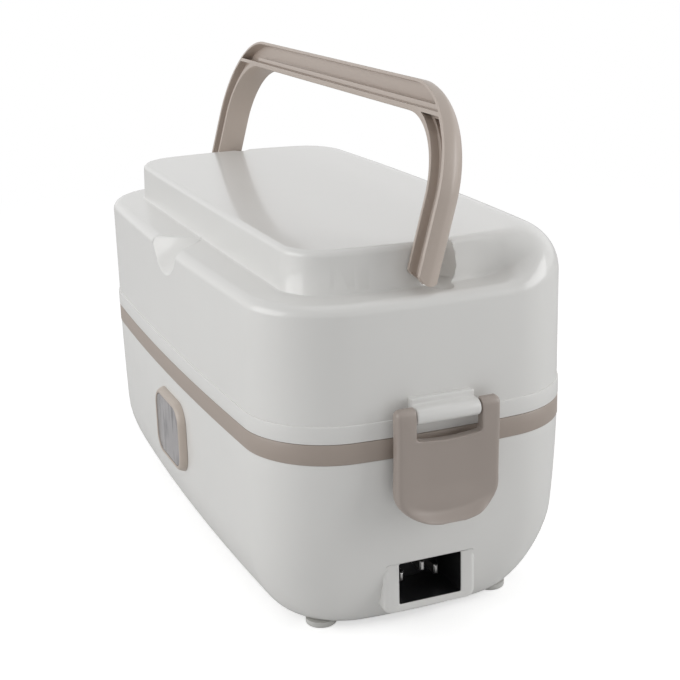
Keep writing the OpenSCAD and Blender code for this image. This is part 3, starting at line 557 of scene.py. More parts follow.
z0 = z_part + seam
levels = insets((z0, 0.8), (z0, 0), (z0 + 0.1, -0.2), (z0 + 0.4, -0.3), (z_strip - 0.45, -0.3),
                (z_strip - 0.15, -0.22), (z_strip, -0.02), (z_strip, lid_in), (z_strip + 0.5, lid_in),
                (z_ledge - edge_round - 0.8, lid_in))
wall_levels = len(levels)
ledge_out, ledge_in = (z_ledge, inset_ring(lid_in + edge_round + 0.6)), (z_ledge, top_ring(-1.6))
rise_low, rise_high = (z_ledge + 1.6, top_ring(0.02)), (z_top - top_round - 0.7, top_ring(draft - 0.02))
levels += quarter_round(z_ledge, edge_round, 10, inset_ring, lid_in)
levels += [ledge_out, *between(ledge_out, ledge_in, 3), ledge_in,
           (z_ledge + 0.06, top_ring(-0.9)), (z_ledge + 0.35, top_ring(-0.3)), (z_ledge + 1, top_ring(0)),
           rise_low, *between(rise_low, rise_high, 6), rise_high]
levels += quarter_round(z_top, top_round, 8, top_ring, draft)
levels += [(z_top, top_ring(draft + top_round + cap_past))]
lid = skin(round_backed(levels, wall_levels, 0))
whole_lid = lid.copy()
inside_wall, inside_top = (z_ledge - wall, top_ring(wall)), (z_top - wall - 1.2, top_ring(wall + 0.6))
inside = insets((z0 - 1, lid_skin), (z_part + 4.1, lid_skin), (z_part + 4.1, 6.5), (z_part + 6, 6.5),
                (z_part + 8, lid_skin), (z_ledge - wall - 3, lid_skin),
                (z_ledge - wall - 1.2, lid_skin + 0.8), (z_ledge - wall, lid_skin + 2.6))
inside += [inside_wall, *between(inside_wall, inside_top, 8), inside_top,
           (z_top - wall, top_ring(wall + 2.2)), (z_top - wall, top_ring(wall + 3))]
cavity = skin(round_backed(inside, 5, wall))
pocket_x, pocket_z, pocket_r = top_a - 6, z_ledge + 6, 12
pivot_z = z_ledge + 6.7


def disc(radius, centre=(0, 0), count=64):
    return arc(np.array(centre), radius, 0, 360, count)


def pocket(grow):
    """The room for one foot of the handle: a round-topped recess with a flat floor."""
    radius = pocket_r + grow
    low = degrees(asin((pocket_z - z_ledge + grow - 0.02) / radius))
    shape = np.vstack((arc(np.array((0, pocket_z)), radius, -low, 180 + low, 72),
                       arc(np.array((0, pocket_z)), radius, 180 + low, 181 + low, 1)))
    return prism(shape, pocket_x - grow, pocket_x - grow + 30, "x")


def bowl():
    """The mouth of a pocket: hidden by the leg in front, rounded off towards the back."""
    face, deep, flat_foot = top_a - 0.45, 6.3, 0.62
    levels = [(face + 7, -2.8, 12.8, 12.7), (face + 0.8, -2.8, 12.8, 12.7)]
    levels += [(face - deep * t * t, 4.6 * t - 2.3, 12.6 - 4.6 * t ** 3, 12.5 - 4.5 * t * t)
               for t in np.linspace(0, 1, 20)]
    rings = [[(x, (first + last) / 2 + (last - first) / 2 * a,
               pocket_z + b * tall * (1 if b > 0 else flat_foot)) for a, b in disc(1, count=90)]
             for x, first, last, tall in levels]
    floor_box = block(pocket_x - 9, pocket_x + 25, -40, 40, z_ledge - 20, z_ledge + 0.02)
    return combine("DIFFERENCE", skin(rings), floor_box)


def dip():
    """The shallow dish in the ledge behind the foot, as the lower part of a flattened ball."""
    middle_x, middle_y, long, wide, tall, lift = pocket_x + 7.4, 6.0, 8.6, 6.0, 4.2, 3.05
    return skin([[(middle_x + long * cos(t) * x, middle_y + wide * cos(t) * y,
                   z_ledge + lift - tall * sin(t)) for x, y in disc(1, count=72)]
                 for t in np.radians(np.linspace(20, 89.5, 20))])


def mirrored(mesh):
    """A copy for the other end, as in a mirror."""
    copy = mesh.copy()
    copy.transform(Matrix.Scale(-1, 4, (1, 0, 0)))
    return outward(copy)


notch_r, notch_drop = 18, 12
notch_run = half_w - top_b


def notch(grow):
    """The room for a finger: a slanting cone from the foot of the raised top out through the wall."""
    rise, spread = (notch_r - notch_drop) / notch_run, notch_r / notch_run
    rings = []
    for out in (-grow, notch_run + 8):
        radius = 0.05 + max(out, 0) * spread + grow * 1.3
        rings.append([(x, 0.5 - top_b - out, z_ledge + out * rise + z) for x, z in disc(radius, count=120)])
    return skin(rings)


skin_notch = combine("DIFFERENCE", notch(wall), block(-60, 60, -99, 0, z_ledge + 0.4, z_ledge + 60))
cavity = combine("DIFFERENCE", cavity, skin_notch, pocket(wall), turned(pocket(wall)))
lid = combine("DIFFERENCE", lid, cavity, bowl(), dip(), mirrored(bowl()), mirrored(dip()), notch(0))
on_lid = surface(whole_lid)
lid = eased(lid, 0.6, 35, 4, lambda x, y, z: z > z_ledge + 1.2 and abs(x) > pocket_x and 2 < y < 14
            and on_lid.find_nearest((x * MM, y * MM, z * MM))[3] < 0.03 * MM, 0.1)
lid = eased(lid, 0.8, 25, 4, lambda x, y, z: abs(x) < 25 and z > z_ledge - 13
            and (y < -half_w + 4.6 or (y < -top_b - 1 and z > z_ledge - 0.5)), 0.1)
flat_top = max((face for face in lid.polygons if face.normal.z > 0.99), key=lambda face: face.area)
for corner in flat_top.vertices:
    lid.vertices[corner].co.z = z_top * MM
stub_radius, stud_radius, stud_play = 6, 3, 0.05
for m in (1, -1):
    stub = prism(disc(stub_radius, (0, pivot_z)), m * (pocket_x - 5.4), m * (pocket_x - 1.4), "x")
    bore = prism(disc(stud_radius + stud_play, (0, pivot_z)), m * (pocket_x - 7), m * (pocket_x + 8), "x")
    lid = combine("DIFFERENCE", combine("UNION", lid, stub), bore)
hinge_x, hinge_z, barrel, block_half = half_l + 4.4, z_part + 8.2, 3.0, 11.9
block_in, block_out, block_top = half_l - 1.4, half_l + 1.8, hinge_z + 5.2
profile = [(block_in, hinge_z - barrel)]
profile += [(hinge_x + barrel * cos(t), hinge_z + barrel * sin(t))
            for t in np.radians(np.arange(-90, 91, 9))]
profile += [(block_out, hinge_z + barrel), (block_out, block_top), (block_in, block_top)]
hinge = eased(prism(profile, -block_half, block_half, "y"), 0.6, 50)
lid = as_before(joined(lid, hinge, turned(hinge)), whole_lid)
place("lid_shell_moulding", lid, "lid", white, "shell_white", "lid_shell")

# Carry handle: a beige injection-moulded arch, an open channel to the front with a rounded back.
# A cross rib at each bend parts the deep channel of the leg from the shallow one of the bar.
# It is drawn upright about its pivot and then leant back; its studs turn in bores of the lid.
tan = moulded("handle_beige", (0.49, 0.415, 0.36), 0.4, 0.012, 0.05, 1800, shine=0.9)
handle_w, handle_t, handle_d = half_l - 2, 10.3, 10.9
handle_front, reach, bend_r, foot, bar_extra, tilt_back = -6.2, 60.3, 37.0, 6.6, 0.9, 15.6
bend_z, bend_x, inner_w = reach - bend_r, handle_w - bend_r, handle_w - handle_t
back_u, back_v = 10.35, 9.08
crease = acos(10 / back_u)
handle_section = [(0, 0.5), (0.15, 0.15), (0.5, 0), (handle_t - 0.5, 0), (handle_t - 0.15, 0.15),
                  (handle_t, 0.5), (handle_t, 3.6)]
handle_section += [(0.3 + back_u * cos(t), handle_d - back_v * (1 - sin(t)))
                   for t in np.linspace(crease, pi / 2, 16)]
handle_section += [(0.08, handle_d - 0.15), (0, handle_d - 0.5)]


def station(x0, z0, t):
    """The section inwards of a point of the outer edge, turned by t from the x axis towards z."""
    thick = handle_t + bar_extra * sin(t) ** 2
    return [(x0 + (u / handle_t - 1) * thick * cos(t), handle_front + v,
             z0 + (u / handle_t - 1) * thick * sin(t)) for u, v in handle_section]


right_half = [station(handle_w, z, 0) for z in (-foot - 1, 0, bend_z / 2)]
right_half += [station(bend_x + bend_r * cos(t), bend_z + bend_r * sin(t), t) for t in turns(36)]
left_half = [[(-x, y, z) for x, y, z in ring] for ring in right_half[::-1]]
arch = skin(right_half + left_half)


def rim(inset, start, stop, count):
    """Points of the outer edge of the right bend moved inwards, between two angles."""
    return [(bend_x + (bend_r - inset) * cos(t), bend_z + (bend_r - inset) * sin(t))
            for t in np.radians(np.linspace(start, stop, count))]


def up_to(z, inset):
    """The angle at which the moved edge reaches a height."""
    return degrees(asin((z - bend_z) / (bend_r - inset)))


def room_to_front(shape, depth):
    """A room in the handle, open to its front."""
    return prism(shape, handle_front - 1, handle_front + depth, "y")


def leg_room(outer, inner, depth, top, low_out, low_in):
    """The channel of the right leg, from the foot up to the cross rib."""
    inset = handle_t - inner
    shape = [(handle_w - outer, low_out)] + rim(outer, 0, up_to(top, outer), 25)
    return room_to_front(shape + rim(inset, up_to(top, inset), 0, 25) + [(inner_w + inner, low_in)], depth)


def bar_room(outer, depth, floor_z, shelf_z, shelf_x):
    """The channel of the bar over its shelf, which stops short of the left bend."""
    shape = rim(outer, up_to(shelf_z, outer), 90, 16)
    shape += [(-x, z) for x, z in rim(outer, 90, up_to(floor_z, outer), 16)]
    return room_to_front(shape + [(-shelf_x, floor_z), (-shelf_x, shelf_z)], depth)


def shelf_room(outer, depth, z0, z1, shelf_x):
    """A strip of the shelf, up to the rim of the right bend."""
    edge = rim(outer, up_to(z0, outer), up_to(z1, outer), 6)
    return room_to_front(edge + [(-shelf_x, z1), (-shelf_x, z0)], depth)


def sole(m):
    """What is cut off under a foot, to leave it rounded, lower on the outside."""
    left_out = block(*sorted((m * (inner_w - 2), m * (handle_w + 2))), -20, 20, -20, 0)
    foot_shape = skin([[(m * x, foot * copysign(abs(cos(t)) ** 0.8, cos(t)),
                         size * sin(t)) for t in np.radians(np.arange(72) * 5)]
                       for x, size in ((inner_w - 4, 2.85), (handle_w + 4, 5.35))])
    return combine("DIFFERENCE", left_out, foot_shape)


bar_z = reach - handle_t - bar_extra
shelf_low, shelf_high, shelf_end = bar_z + 2.0, bar_z + 4.2, 83
legs = [leg_room(outer=1.7, inner=1.5, depth=3.4, top=bar_z + 0.6, low_out=-4.6, low_in=-2.4),
        leg_room(outer=3.6, inner=2.5, depth=6.6, top=bar_z - 0.4, low_out=-3.6, low_in=-1.4)]
cuts = legs + [mirrored(room) for room in legs]
cuts += [bar_room(1.2, 4.4, shelf_low, shelf_high, shelf_end),
         shelf_room(1.25, 1.9, shelf_low, shelf_low + 0.5, shelf_end + 0.5),
         shelf_room(1.3, 1.4, shelf_low + 0.05, shelf_high + 0.1, shelf_end + 0.4), sole(1), sole(-1)]
whole_arch = arch.copy()
arch = eased(combine("DIFFERENCE", arch, *cuts), 0.3, 45, 3,
             lambda x, y, z: not (abs(x) > 78 and bar_z - 5 < z < bar_z + 5), 0.03, flatten=False)
stud = prism(disc(stud_radius, count=48), pocket_x - 4.4, inner_w + 0.6, "x")
arch = joined(arch, stud, mirrored(stud))
lean = Matrix.Translation((0, 0, pivot_z * MM)) @ Matrix.Rotation(radians(-tilt_back), 4, "X")
for mesh in (arch, whole_arch):
    mesh.transform(lean)
place("handle_arch", as_before(arch, whole_arch), "handle", tan, "handle_beige", "handle")

# Latches: satin beige mouldings, hollow behind a dished face, with two ears round the hinge block.
# Each turns on a steel pin through the barrel of the lid; its lip flares out for the finger.
dusk = moulded("latch_beige", (0.375, 0.32, 0.285), 0.4, 0.012, 0.05, 1800, shine=0.8)
latch_half, latch_long, belly, belly_power = 19.2, 42.0, 11.5, 2.3
latch_top = hinge_z + 3.4
latch_low = latch_top - latch_long
top_soft, rim_wide, rim_soft = 1.8, 1.6, 1.5
flare, flare_tall, dish_deep = 2.7, 4.2, 0.55
gape_half, gape_low, gape_corner, web_sag = 12.3, hinge_z - 6.9, 1.3, 1.0
back_line = [(latch_low, 5.5), (latch_low + 3, 3.9), (latch_low + 8, 2.6), (latch_low + 14, 2.3),
             (hinge_z - 18, 3.0), (hinge_z - 8, 3.4), (hinge_z, 3.2), (latch_top, 3.9)]
face_line = [(latch_low, 7.4), (hinge_z - 31, 7.0), (hinge_z - 25, 6.8), (hinge_z - 18, 6.9),
             (hinge_z - 8, 7.4), (hinge_z + 1, 7.5), (latch_top - 1.2, 7.1), (latch_top - 0.4, 6.5),
             (latch_top, 5.6)]


def along(line, z):
    return float(np.interp(z, *zip(*line)))


def low_edge(y):
    """The rounded lower edge of the latch, as its height at a place across."""
    return latch_low + belly * curved_in(min(abs(y) / latch_half, 1), belly_power)


def latch_row(z):
    """One level of the latch: its dished face with rounded sides, and its back."""
    wide = latch_half
    if z < latch_low + belly:
        wide -= latch_half * curved_in(1 - (z - latch_low) / belly, belly_power)
    if z > latch_top - top_soft:
        wide -= top_soft - sqrt(max(top_soft ** 2 - (z - latch_top + top_soft) ** 2, 0))
    ring = []
    for share in np.concatenate((-1 + 0.16 * np.linspace(0, 1, 7) ** 1.6, np.linspace(-0.76, 0.76, 20),
                                 1 - 0.16 * np.linspace(1, 0, 7) ** 1.6)):
        y = share * wide
        out = along(face_line, z)
        out += flare * (1 - ramp((z - low_edge(y)) / flare_tall)) * (1 - ramp((abs(y) - 9) / 9))
        room = ramp((z - latch_low - 5) / 9) * ramp((hinge_z - 6 - z) / 6)
        out -= dish_deep * room * (1 - ramp((abs(y) - 6) / (latch_half - 8)))
        rim_in = max(abs(y) - (wide - rim_wide), 0) / rim_wide
        out -= rim_soft * (1 - sqrt(max(1 - rim_in * rim_in, 0)))
        ring.append((half_l + out, y))
    back = half_l + along(back_line, z)
    return [(min(back, ring[0][0] - 0.2), ring[0][1])] + ring + [(min(back, ring[-1][0] - 0.2), ring[-1][1])]


row_z = [latch_low + belly * curved_in(sin(t), belly_power) for t in np.radians(np.linspace(14, 90, 18))]
row_z += list(np.linspace(latch_low + belly + 1, latch_top - 2, 20))
row_z += [latch_top - top_soft * (1 - sin(t)) for t in turns(5)]
latch = loft([(z, latch_row(z)) for z in row_z])
whole_latch = latch.copy()
hollow_top = hinge_z - 11.1
hollow = [(half_l - 2, hollow_top)]
hollow += [(half_l + along(face_line, z) - 3.0, z) for z in np.linspace(hollow_top, latch_low + 5, 12)]
hollow += [(half_l + 7.0, latch_low - 1), (half_l - 2, latch_low - 1)]
sag = [(y, gape_low - 1.2 - web_sag * (1 - (y / 11.6) ** 2)) for y in np.linspace(-11.0, 11.0, 15)]
gape_side = [(gape_half, hinge_z + 20)] + [(gape_half - gape_corner * (1 - cos(t)),
                                            gape_low - gape_corner * sin(t)) for t in turns(5)]
gape = [(-y, z) for y, z in gape_side] + sag + gape_side[::-1]
latch = combine("DIFFERENCE", latch, prism(hollow, -latch_half + 2, latch_half - 2, "y"),
                prism(gape, half_l - 5, half_l + 15, "x"))
latch = eased(latch, 0.45, 50, 3, lambda x, y, z: x > half_l + 1.5 and abs(y) < latch_half - 0.3)
latch = combine("DIFFERENCE", latch, prism(disc(1.3, (hinge_x, hinge_z), 32), -17, 17, "y"))
latch = as_before(latch, whole_latch)
hook = shaded(eased(block(half_l + 2.6, half_l + 4.6, -7.5, 7.5, z_part - 9.4, z_part - 6.2), 0.3))
for side, lever, catch in (("right", latch, hook), ("left", turned(latch), turned(hook))):
    place(f"latch_{side}_lever", lever, f"latch_{side}", dusk, "latch_beige", f"latch_{side}")
    place(f"latch_{side}_hook", catch, f"latch_{side}", dusk, "latch_beige")

# Latch pins: plain steel rods, cut to length and pushed through the ears and the barrel.
# They are shown as they were built, in a finish of their own.
steel = metal("steel_finish", (0.50, 0.51, 0.53), 0.32, (1, 1, 6))


def as_built(name, material, slot):
    """Keeps a node of the frame as it is, in a finish of its own."""
    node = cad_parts[name]
    node.data.materials.clear()
    node.data.materials.append(material)


for side in ("right", "left"):
    as_built(f"latch_pin_{side}", steel, "steel")

# Lid seal: a soft ring moulded from silicone, with a groove in its underside.
# It hangs on the inner edge of the lid and rests on the liner.
silicone = moulded("silicone", (0.68, 0.68, 0.66), 0.6, 0.02, 0.05, 900)
seal_low, seal_high = box_of("lid_seal")
seal_ring = tube_band(lid_skin + 0.1, 6.4, seal_low.z, seal_high.z, 0.25)
groove = tube_band(3.8, 5.2, seal_low.z - 1, seal_low.z + 1.6, 0.2)
place("lid_seal_ring", shaded(combine("DIFFERENCE", seal_ring, groove)), "lid", silicone, "silicone",
      "lid_seal")

# Inner liner: a white well that hangs on the collar, with a round opening for the heating plate
# and posts for the base screws and for the screws of the clamp.
liner_white = moulded("liner_white", (0.70, 0.70, 0.67), 0.42, 0.015, 0.03, 900)
liner_wall, well_x, well_y, plate_radius = 1.6, 17, 13.5, 32
plate_low, plate_high = box_of("heating_plate")
plate_z = plate_low.z
liner_z = plate_z + liner_wall + 1.2
screw_spots = [(x, y) for x in (-66, 66) for y in (-24, 24)]
clamp_spots = [(-plate_radius - 8, 0), (plate_radius + 8, 0)]


def bend(first, last, count=8):
    """Levels that turn in a quarter round from a flat floor into an upright wall."""
    (z0, x0, y0, r0), (z1, x1, y1, r1) = first, last
    return [(z0 + (z1 - z0) * (1 - cos(t)),
             body_ring(*(a + (b - a) * sin(t) for a, b in ((x0, x1), (y0, y1), (r0, r1)))))
            for t in turns(count)]


def upright(radius, start, stop, centre=(0, 0), count=96):
    """A round bar that stands upright."""
    return prism(disc(radius, centre, count), start, stop, "z")


well = bend((liner_z - liner_wall, well_x + 5.5, well_y + 5.5, 19.5), (liner_z + 2.4, well_x, well_y, 24))
well += insets((z_part - 1.5, 10), (z_part - 1.5, 6.8), (z_part - 1.2, 6.5), (z_part - 0.3, 6.5),
               (z_part, 6.8), (z_part, 11.2), (z_part - 0.4, 11.6))
well += bend((liner_z, well_x + 5.5 + liner_wall, well_y + 5.5 + liner_wall, 18),
             (liner_z + 4, well_x + liner_wall, well_y + liner_wall, 23))[::-1]
liner = combine("UNION", loft(well), upright(plate_radius + 4, plate_z - 1.6, liner_z - 1))
liner = combine("DIFFERENCE", liner, upright(plate_radius - 3, plate_z - 5, liner_z + 9),
                upright(plate_radius + 1.6, plate_z, liner_z + 9))
posts = [(spot, 4, 1.55, box_of("inner_liner")[0].z) for spot in screw_spots]
posts += [(spot, 3, 1.45, box_of("heater_clamp")[1].z) for spot in clamp_spots]
for spot, outside, inside, foot_z in posts:
    post = upright(outside, foot_z, liner_z - liner_wall + 0.3, spot, 32)
    drill = upright(inside, foot_z - 1, liner_z - liner_wall - 0.4, spot, 24)
    liner = joined(liner, combine("DIFFERENCE", post, drill))
place("inner_liner_well", shaded(liner), "base", liner_white, "liner_white", "inner_liner")

# Heating plate: a round of bare aluminium, turned in fine rings, with a rounded rim.
# It fills the opening in the floor of the liner, inside a round seal.
turned_metal = metal("plate_aluminium", (0.66, 0.67, 0.68), 0.32, (1, 1, 1), 420)
plate_disc = eased(upright(plate_radius, plate_low.z, plate_high.z, count=128), 0.4)
place("heating_plate_disc", shaded(plate_disc), "base", turned_metal, "plate_aluminium", "heating_plate")

# Screws: plated steel pan-head screws with a cross recess, driven upwards into the posts.
# A node tree sets one screw on every point of the base mesh.


def grown(name, base, tree, **values):
    """A node tree run once on a base mesh; its result as a plain mesh."""
    maker = put(name, base)
    step = maker.modifiers.new("grow", "NODES")
    step.node_group = tree
    for item in tree.interface.items_tree:
        if item.item_type == "SOCKET" and item.in_out == "INPUT" and item.name in values:
            step[item.identifier] = values[item.name]
    seen = maker.evaluated_get(bpy.context.evaluated_depsgraph_get())
    mesh = bpy.data.meshes.new_from_object(seen)
    maker.modifiers.clear()
    bpy.data.objects.remove(maker)
    return mesh


def new_tree(name, *inputs):
    """An empty node tree with a geometry input and output and the named inputs."""
    tree = bpy.data.node_groups.new(name, "GeometryNodeTree")
    tree.interface.new_socket("Geometry", in_out="INPUT", socket_type="NodeSocketGeometry")
    tree.interface.new_socket("Geometry", in_out="OUTPUT", socket_type="NodeSocketGeometry")
    for label, kind in inputs:
        tree.interface.new_socket(label, in_out="INPUT", socket_type="NodeSocket" + kind)
    return tree, tree.nodes.new("NodeGroupInput"), tree.nodes.new("NodeGroupOutput")


def geometry(tree, kind, **inputs):
    """A new geometry node with its inputs given."""
    return fed(tree, tree.nodes.new("GeometryNode" + kind), **inputs)


def chain(tree, start, *steps):
    """Links the geometry of one node after the other."""
    for step in steps:
        source = next(s for s in start.outputs if s.type == "GEOMETRY")
        tree.links.new(source, next(s for s in step.inputs if s.type == "GEOMETRY"))
        start = step


copies, given, result = new_tree("copies", ("Piece", "Object"), ("Material", "Material"))
piece_in = geometry(copies, "ObjectInfo", Object=given.outputs["Piece"])
chain(copies, given, geometry(copies, "MeshToPoints"),
      geometry(copies, "InstanceOnPoints", Instance=piece_in.outputs["Geometry"]),
      geometry(copies, "RealizeInstances"),
      geometry(copies, "SetMaterial", Material=given.outputs["Material"]), result)


def place_copies(name, mesh, spots, material, slot, node):
    """The same piece at several places of the base, as one mesh."""
    sample = put("sample", mesh)
    points = solid([(x, y, 0) for x, y in spots], [])
    place(name, grown(name, points, copies, Piece=sample, Material=material), "base", material, slot, node)
    bpy.data.objects.remove(sample)


head_tall = 1.8


def place_screws(node, head, shank, spots):
    """A set of pan-head screws, as long as their node."""
    low, high = box_of(node)
    head_z = low.z + head_tall
    length = high.z - head_z
    top = eased(upright(head, low.z, head_z, count=40), 0.6, 40, 4, lambda x, y, z: z < head_z - 1)
    arm = head / head_tall * 1.125
    cross = [block(-a, a, -b, b, head_z - 3, head_z - 1) for a, b in ((arm, 0.4), (0.4, arm))]
    ridges = [(head_z - 0.3, 0.97 * shank)]
    ridges += [(head_z + 0.6 + 0.5 * k, shank * (1 if k % 2 else 0.82)) for k in range(int(2 * length - 3))]
    ridges += [(head_z + length - 0.7, 0.7 * shank), (head_z + length, 0.2 * shank)]
    rod = loft([(z, disc(r, count=20)) for z, r in ridges])
    screw = joined(shaded(combine("DIFFERENCE", top, *cross)), shaded(rod))
    place_copies(node[:-1] + "_set", screw, spots, steel, "steel", node)


place_screws("base_screws", 3, 1.5, screw_spots)
place_screws("clamp_screws", 2.6, 1.4, clamp_spots)

# Feet: four round pads of soft pale rubber, moulded with a rounded lower edge.
# They are glued under the corners of the base.
rubber = moulded("foot_rubber", (0.62, 0.615, 0.59), 0.7, 0.02, 0.1, 700)
feet_low, feet_high = box_of("feet")
foot_radius = 5.7
foot_spots = [(m * (feet_high.x - foot_radius), n * (feet_high.y - foot_radius)) for m in (1, -1)
              for n in (1, -1)]
pad = eased(upright(foot_radius, feet_low.z, feet_high.z, count=48), 0.5, 40, 3, lambda x, y, z: z < 1)
place_copies("rubber_feet", shaded(pad), foot_spots, rubber, "foot_rubber", "feet")

# Wires: insulated leads from the inlet to the cut-outs, the heater and the indicator.
# Each follows its path as a curve with rounded bends and a round section.
tubes, given, result = new_tree("tubes", ("Radius", "Float"), ("Bend", "Float"), ("Material", "Material"))
rounder = geometry(tubes, "FilletCurve")
rounder.mode = "POLY"
fed(tubes, rounder, Count=6, Limit_Radius=True, Radius=given.outputs["Bend"])
circle = geometry(tubes, "CurvePrimitiveCircle", Resolution=14, Radius=given.outputs["Radius"])
chain(tubes, given, geometry(tubes, "MeshToCurve"), rounder,
      geometry(tubes, "CurveToMesh", Profile_Curve=circle.outputs["Curve"], Fill_Caps=True),
      geometry(tubes, "SetShadeSmooth"), geometry(tubes, "RealizeInstances"),
      geometry(tubes, "SetMaterial", Material=given.outputs["Material"]), result)
wire_bend = 3


def leads(name, paths, radius, colour, slot):
    """One node's wires."""
    material = moulded(slot, colour, 0.4, 0.03, 0.02, 900, shine=0.6)
    points = [p for path in paths for p in path]
    edges, start = [], 0
    for path in paths:
        edges += [(start + i, start + i + 1) for i in range(len(path) - 1)]
        start += len(path)
    base = bpy.data.meshes.new(name)
    base.from_pydata((np.array(points, float) * MM).tolist(), edges, [])
    mesh = grown(name, base, tubes, Radius=radius * MM, Bend=wire_bend * MM, Material=material)
    place(name + "_leads", outward(mesh), "base", material, slot, name)


def to_heater(side, *way):
    """The end of a lead that rises beside the heater and turns in to its tab."""
    return [*way, (-28, side * 10, plate_z - 5), (-27.4, side * 5, plate_z - 3.4),
            (-24.6, side * 4, plate_z - 3)]


tab_x = pins_low.x - 1.2
leads("wire_live", [[(tab_x, -7, line_z), (tab_x - 8, -7, line_z), (46, -18, 13), (18, -18, 15),
                     (12.7, -18, plate_z - 2.4)],
                    to_heater(-1, (-12.7, -18, plate_z - 2.4), (-20, -18, 17), (-27, -12, 17))],
      1.2, (0.10, 0.035, 0.014), "wire_brown")
leads("wire_neutral", [[(tab_x, 7, line_z), (tab_x - 8, 7, line_z), (40, 20, 12), (12, 20, 12),
                        (6.9, 19.5, plate_z - 11)],
                       to_heater(1, (-6.9, 19.5, plate_z - 11), (-22, 16, 14), (-27, 12, 16))],
      1.2, (0.013, 0.055, 0.23), "wire_blue")
leads("wire_earth", [[(tab_x, 0, earth_z), (tab_x - 6, 0, earth_z - 1), (62, 3, 12), (34, 14, 13),
                      (22, 16, plate_z - 1.4)]], 1.2, (0.17, 0.30, 0.022), "wire_green_yellow")
leads("indicator_wires", [[(s * 5, wall_face + 6.9, indicator_z - 4),
                           (s * 5, wall_face + 8.5, indicator_z - 8), (s * 5, wall_face + 10, 30),
                           (s * 6 - 20, -38, 14), (s * 2.2 - 26, -22, 12), (s * 3 - 29, -12, 12)]
                          for s in (-1, 1)], 0.8, (0.35, 0.022, 0.014), "wire_red")

# Heater pack, cut-outs, board and plug: bought-in pieces and seals, shown as they were built.
# Each gets the finish of its own stuff.
heater_grey = metal("heater_aluminium", (0.42, 0.43, 0.44), 0.42, (0.05, 1, 1))
for name, material, slot in (
        ("plate_seal", silicone, "silicone"), ("steam_plug", silicone, "silicone"),
        ("ptc_heater", heater_grey, "heater_aluminium"), ("heater_clamp", steel, "steel"),
        ("insulation_pad", moulded("mica", (0.60, 0.47, 0.27), 0.5, 0.12, 0.2, 260), "mica"),
        ("thermostat", moulded("thermostat_black", (0.014, 0.014, 0.015), 0.45), "thermostat_black"),
        ("thermal_fuse", moulded("fuse_sleeve", (0.78, 0.74, 0.66), 0.8, 0.04, 0.3, 2600), "fuse_sleeve"),
        ("indicator_board", moulded("board_green", (0.010, 0.073, 0.022), 0.35, 0.05), "board_green"),
        ("indicator_led", moulded("led_amber", (0.78, 0.17, 0.03), 0.15, 0.02, 0), "led_amber")):
    as_built(name, material, slot)

# Food tray: a pan drawn from one steel sheet, with rounded corners and a flat rim.
# It hangs loose by its rim in the liner, a little over the heating plate.
drawn_steel = metal("tray_steel", (0.66, 0.67, 0.68), 0.26, (1, 1, 0.15))
tray_low, tray_high = box_of("food_tray")
sheet, tray_inset = 0.8, 13
tray_z, z_tray = tray_low.z, tray_high.z - sheet
pan = bend((tray_z, 25, 21.5, 14), (tray_z + 4.5, 20.2, 16.8, 18.6))
pan += insets((z_tray - 1, tray_inset + 0.05), (z_tray - 0.3, tray_inset - 0.3), (z_tray, tray_inset - 1),
              (z_tray, 9.1), (z_tray + 0.2, 8.9), (z_tray + sheet - 0.2, 8.9), (z_tray + sheet, 9.1),
              (z_tray + sheet, tray_inset - 0.2), (z_tray + 0.3, tray_inset + 0.6),
              (z_tray - 1, tray_inset + 0.9))
pan += bend((tray_z + sheet, 25.4, 21.9, 13.6), (tray_z + 4.9, 21, 17.6, 18))[::-1]
place("food_tray_pan", shaded(loft(pan)), "food_tray", drawn_steel, "tray_steel", "food_tray")

# Tray cover: a white snap-on lid with a skirt outside the rim and a rib inside it.
# It is one moulding with a hole for the steam plug, and a silicone ring lies under it.
tray_white = moulded("tray_white", (0.78, 0.78, 0.75), 0.36, 0.012, 0.03, 900, 0.2)
z_cover = tray_high.z + 0.1
cover = loft(insets(*[(z_cover + rise, inset) for rise, inset in (
    (1.4, 9), (1.4, 7.6), (2.8, 7.6), (3.2, 7.8), (3.4, 8.3), (3.4, 13), (3.3, 13.6), (3.1, 14), (3.1, 15))]))
cover = combine("DIFFERENCE", cover, upright(3, z_cover, z_cover + 8, (half_l - 17, 0), 40))
cover = joined(cover, tube_band(7.6, 8.6, z_cover - 0.7, z_cover + 1.5, 0.15),
               tube_band(tray_inset + 1.3, tray_inset + 2.5, z_cover - 0.4, z_cover + 1.5, 0.2))
place("tray_cover_lid", shaded(cover), "tray_cover", tray_white, "tray_white", "tray_cover")
place("tray_seal_ring", shaded(tube_band(9.5, 12.6, z_cover, z_cover + 1.4, 0.35)), "tray_cover", silicone,
      "silicone", "tray_seal")

# Side-dish tray: a shallow white moulded dish, rounded inside and out, with one low wall
# across it. It lies loose over the cover of the food tray.
dish_low, dish_high = box_of("side_dish_tray")
z_dish, z_brim = dish_low.z, dish_high.z
dish = bend((z_dish, 29, 20, 17), (z_dish + 4, 25.6, 16.7, 20.2))
dish += [(z_brim - drop, body_ring(ix, iy, corner)) for drop, ix, iy, corner in (
    (2, 20.2, 14.2, 22), (2, 18.4, 12.6, 22.8), (1.8, 18.2, 12.4, 23), (0.4, 18.2, 12.4, 23),
    (0, 18.6, 12.8, 22.6), (0, 21.2, 15.2, 21.4), (0.4, 21.6, 15.6, 21))]
dish += bend((z_dish + 1.6, 31, 22, 15), (z_dish + 5.6, 27.3, 18.3, 19.2))[::-1]
across = loft(insets((z_dish + 1, 21), (z_brim - 3, 17.5)))
across = combine("INTERSECT", across, block(18, 19.6, -60, 60, z_dish, z_brim - 3))
dish = joined(loft(dish), eased(across, 0.4, 50, 3, lambda x, y, z: z > z_brim - 4))
place("side_dish_tray_dish", shaded(dish), "side_dish_tray", tray_white, "tray_white", "side_dish_tray")

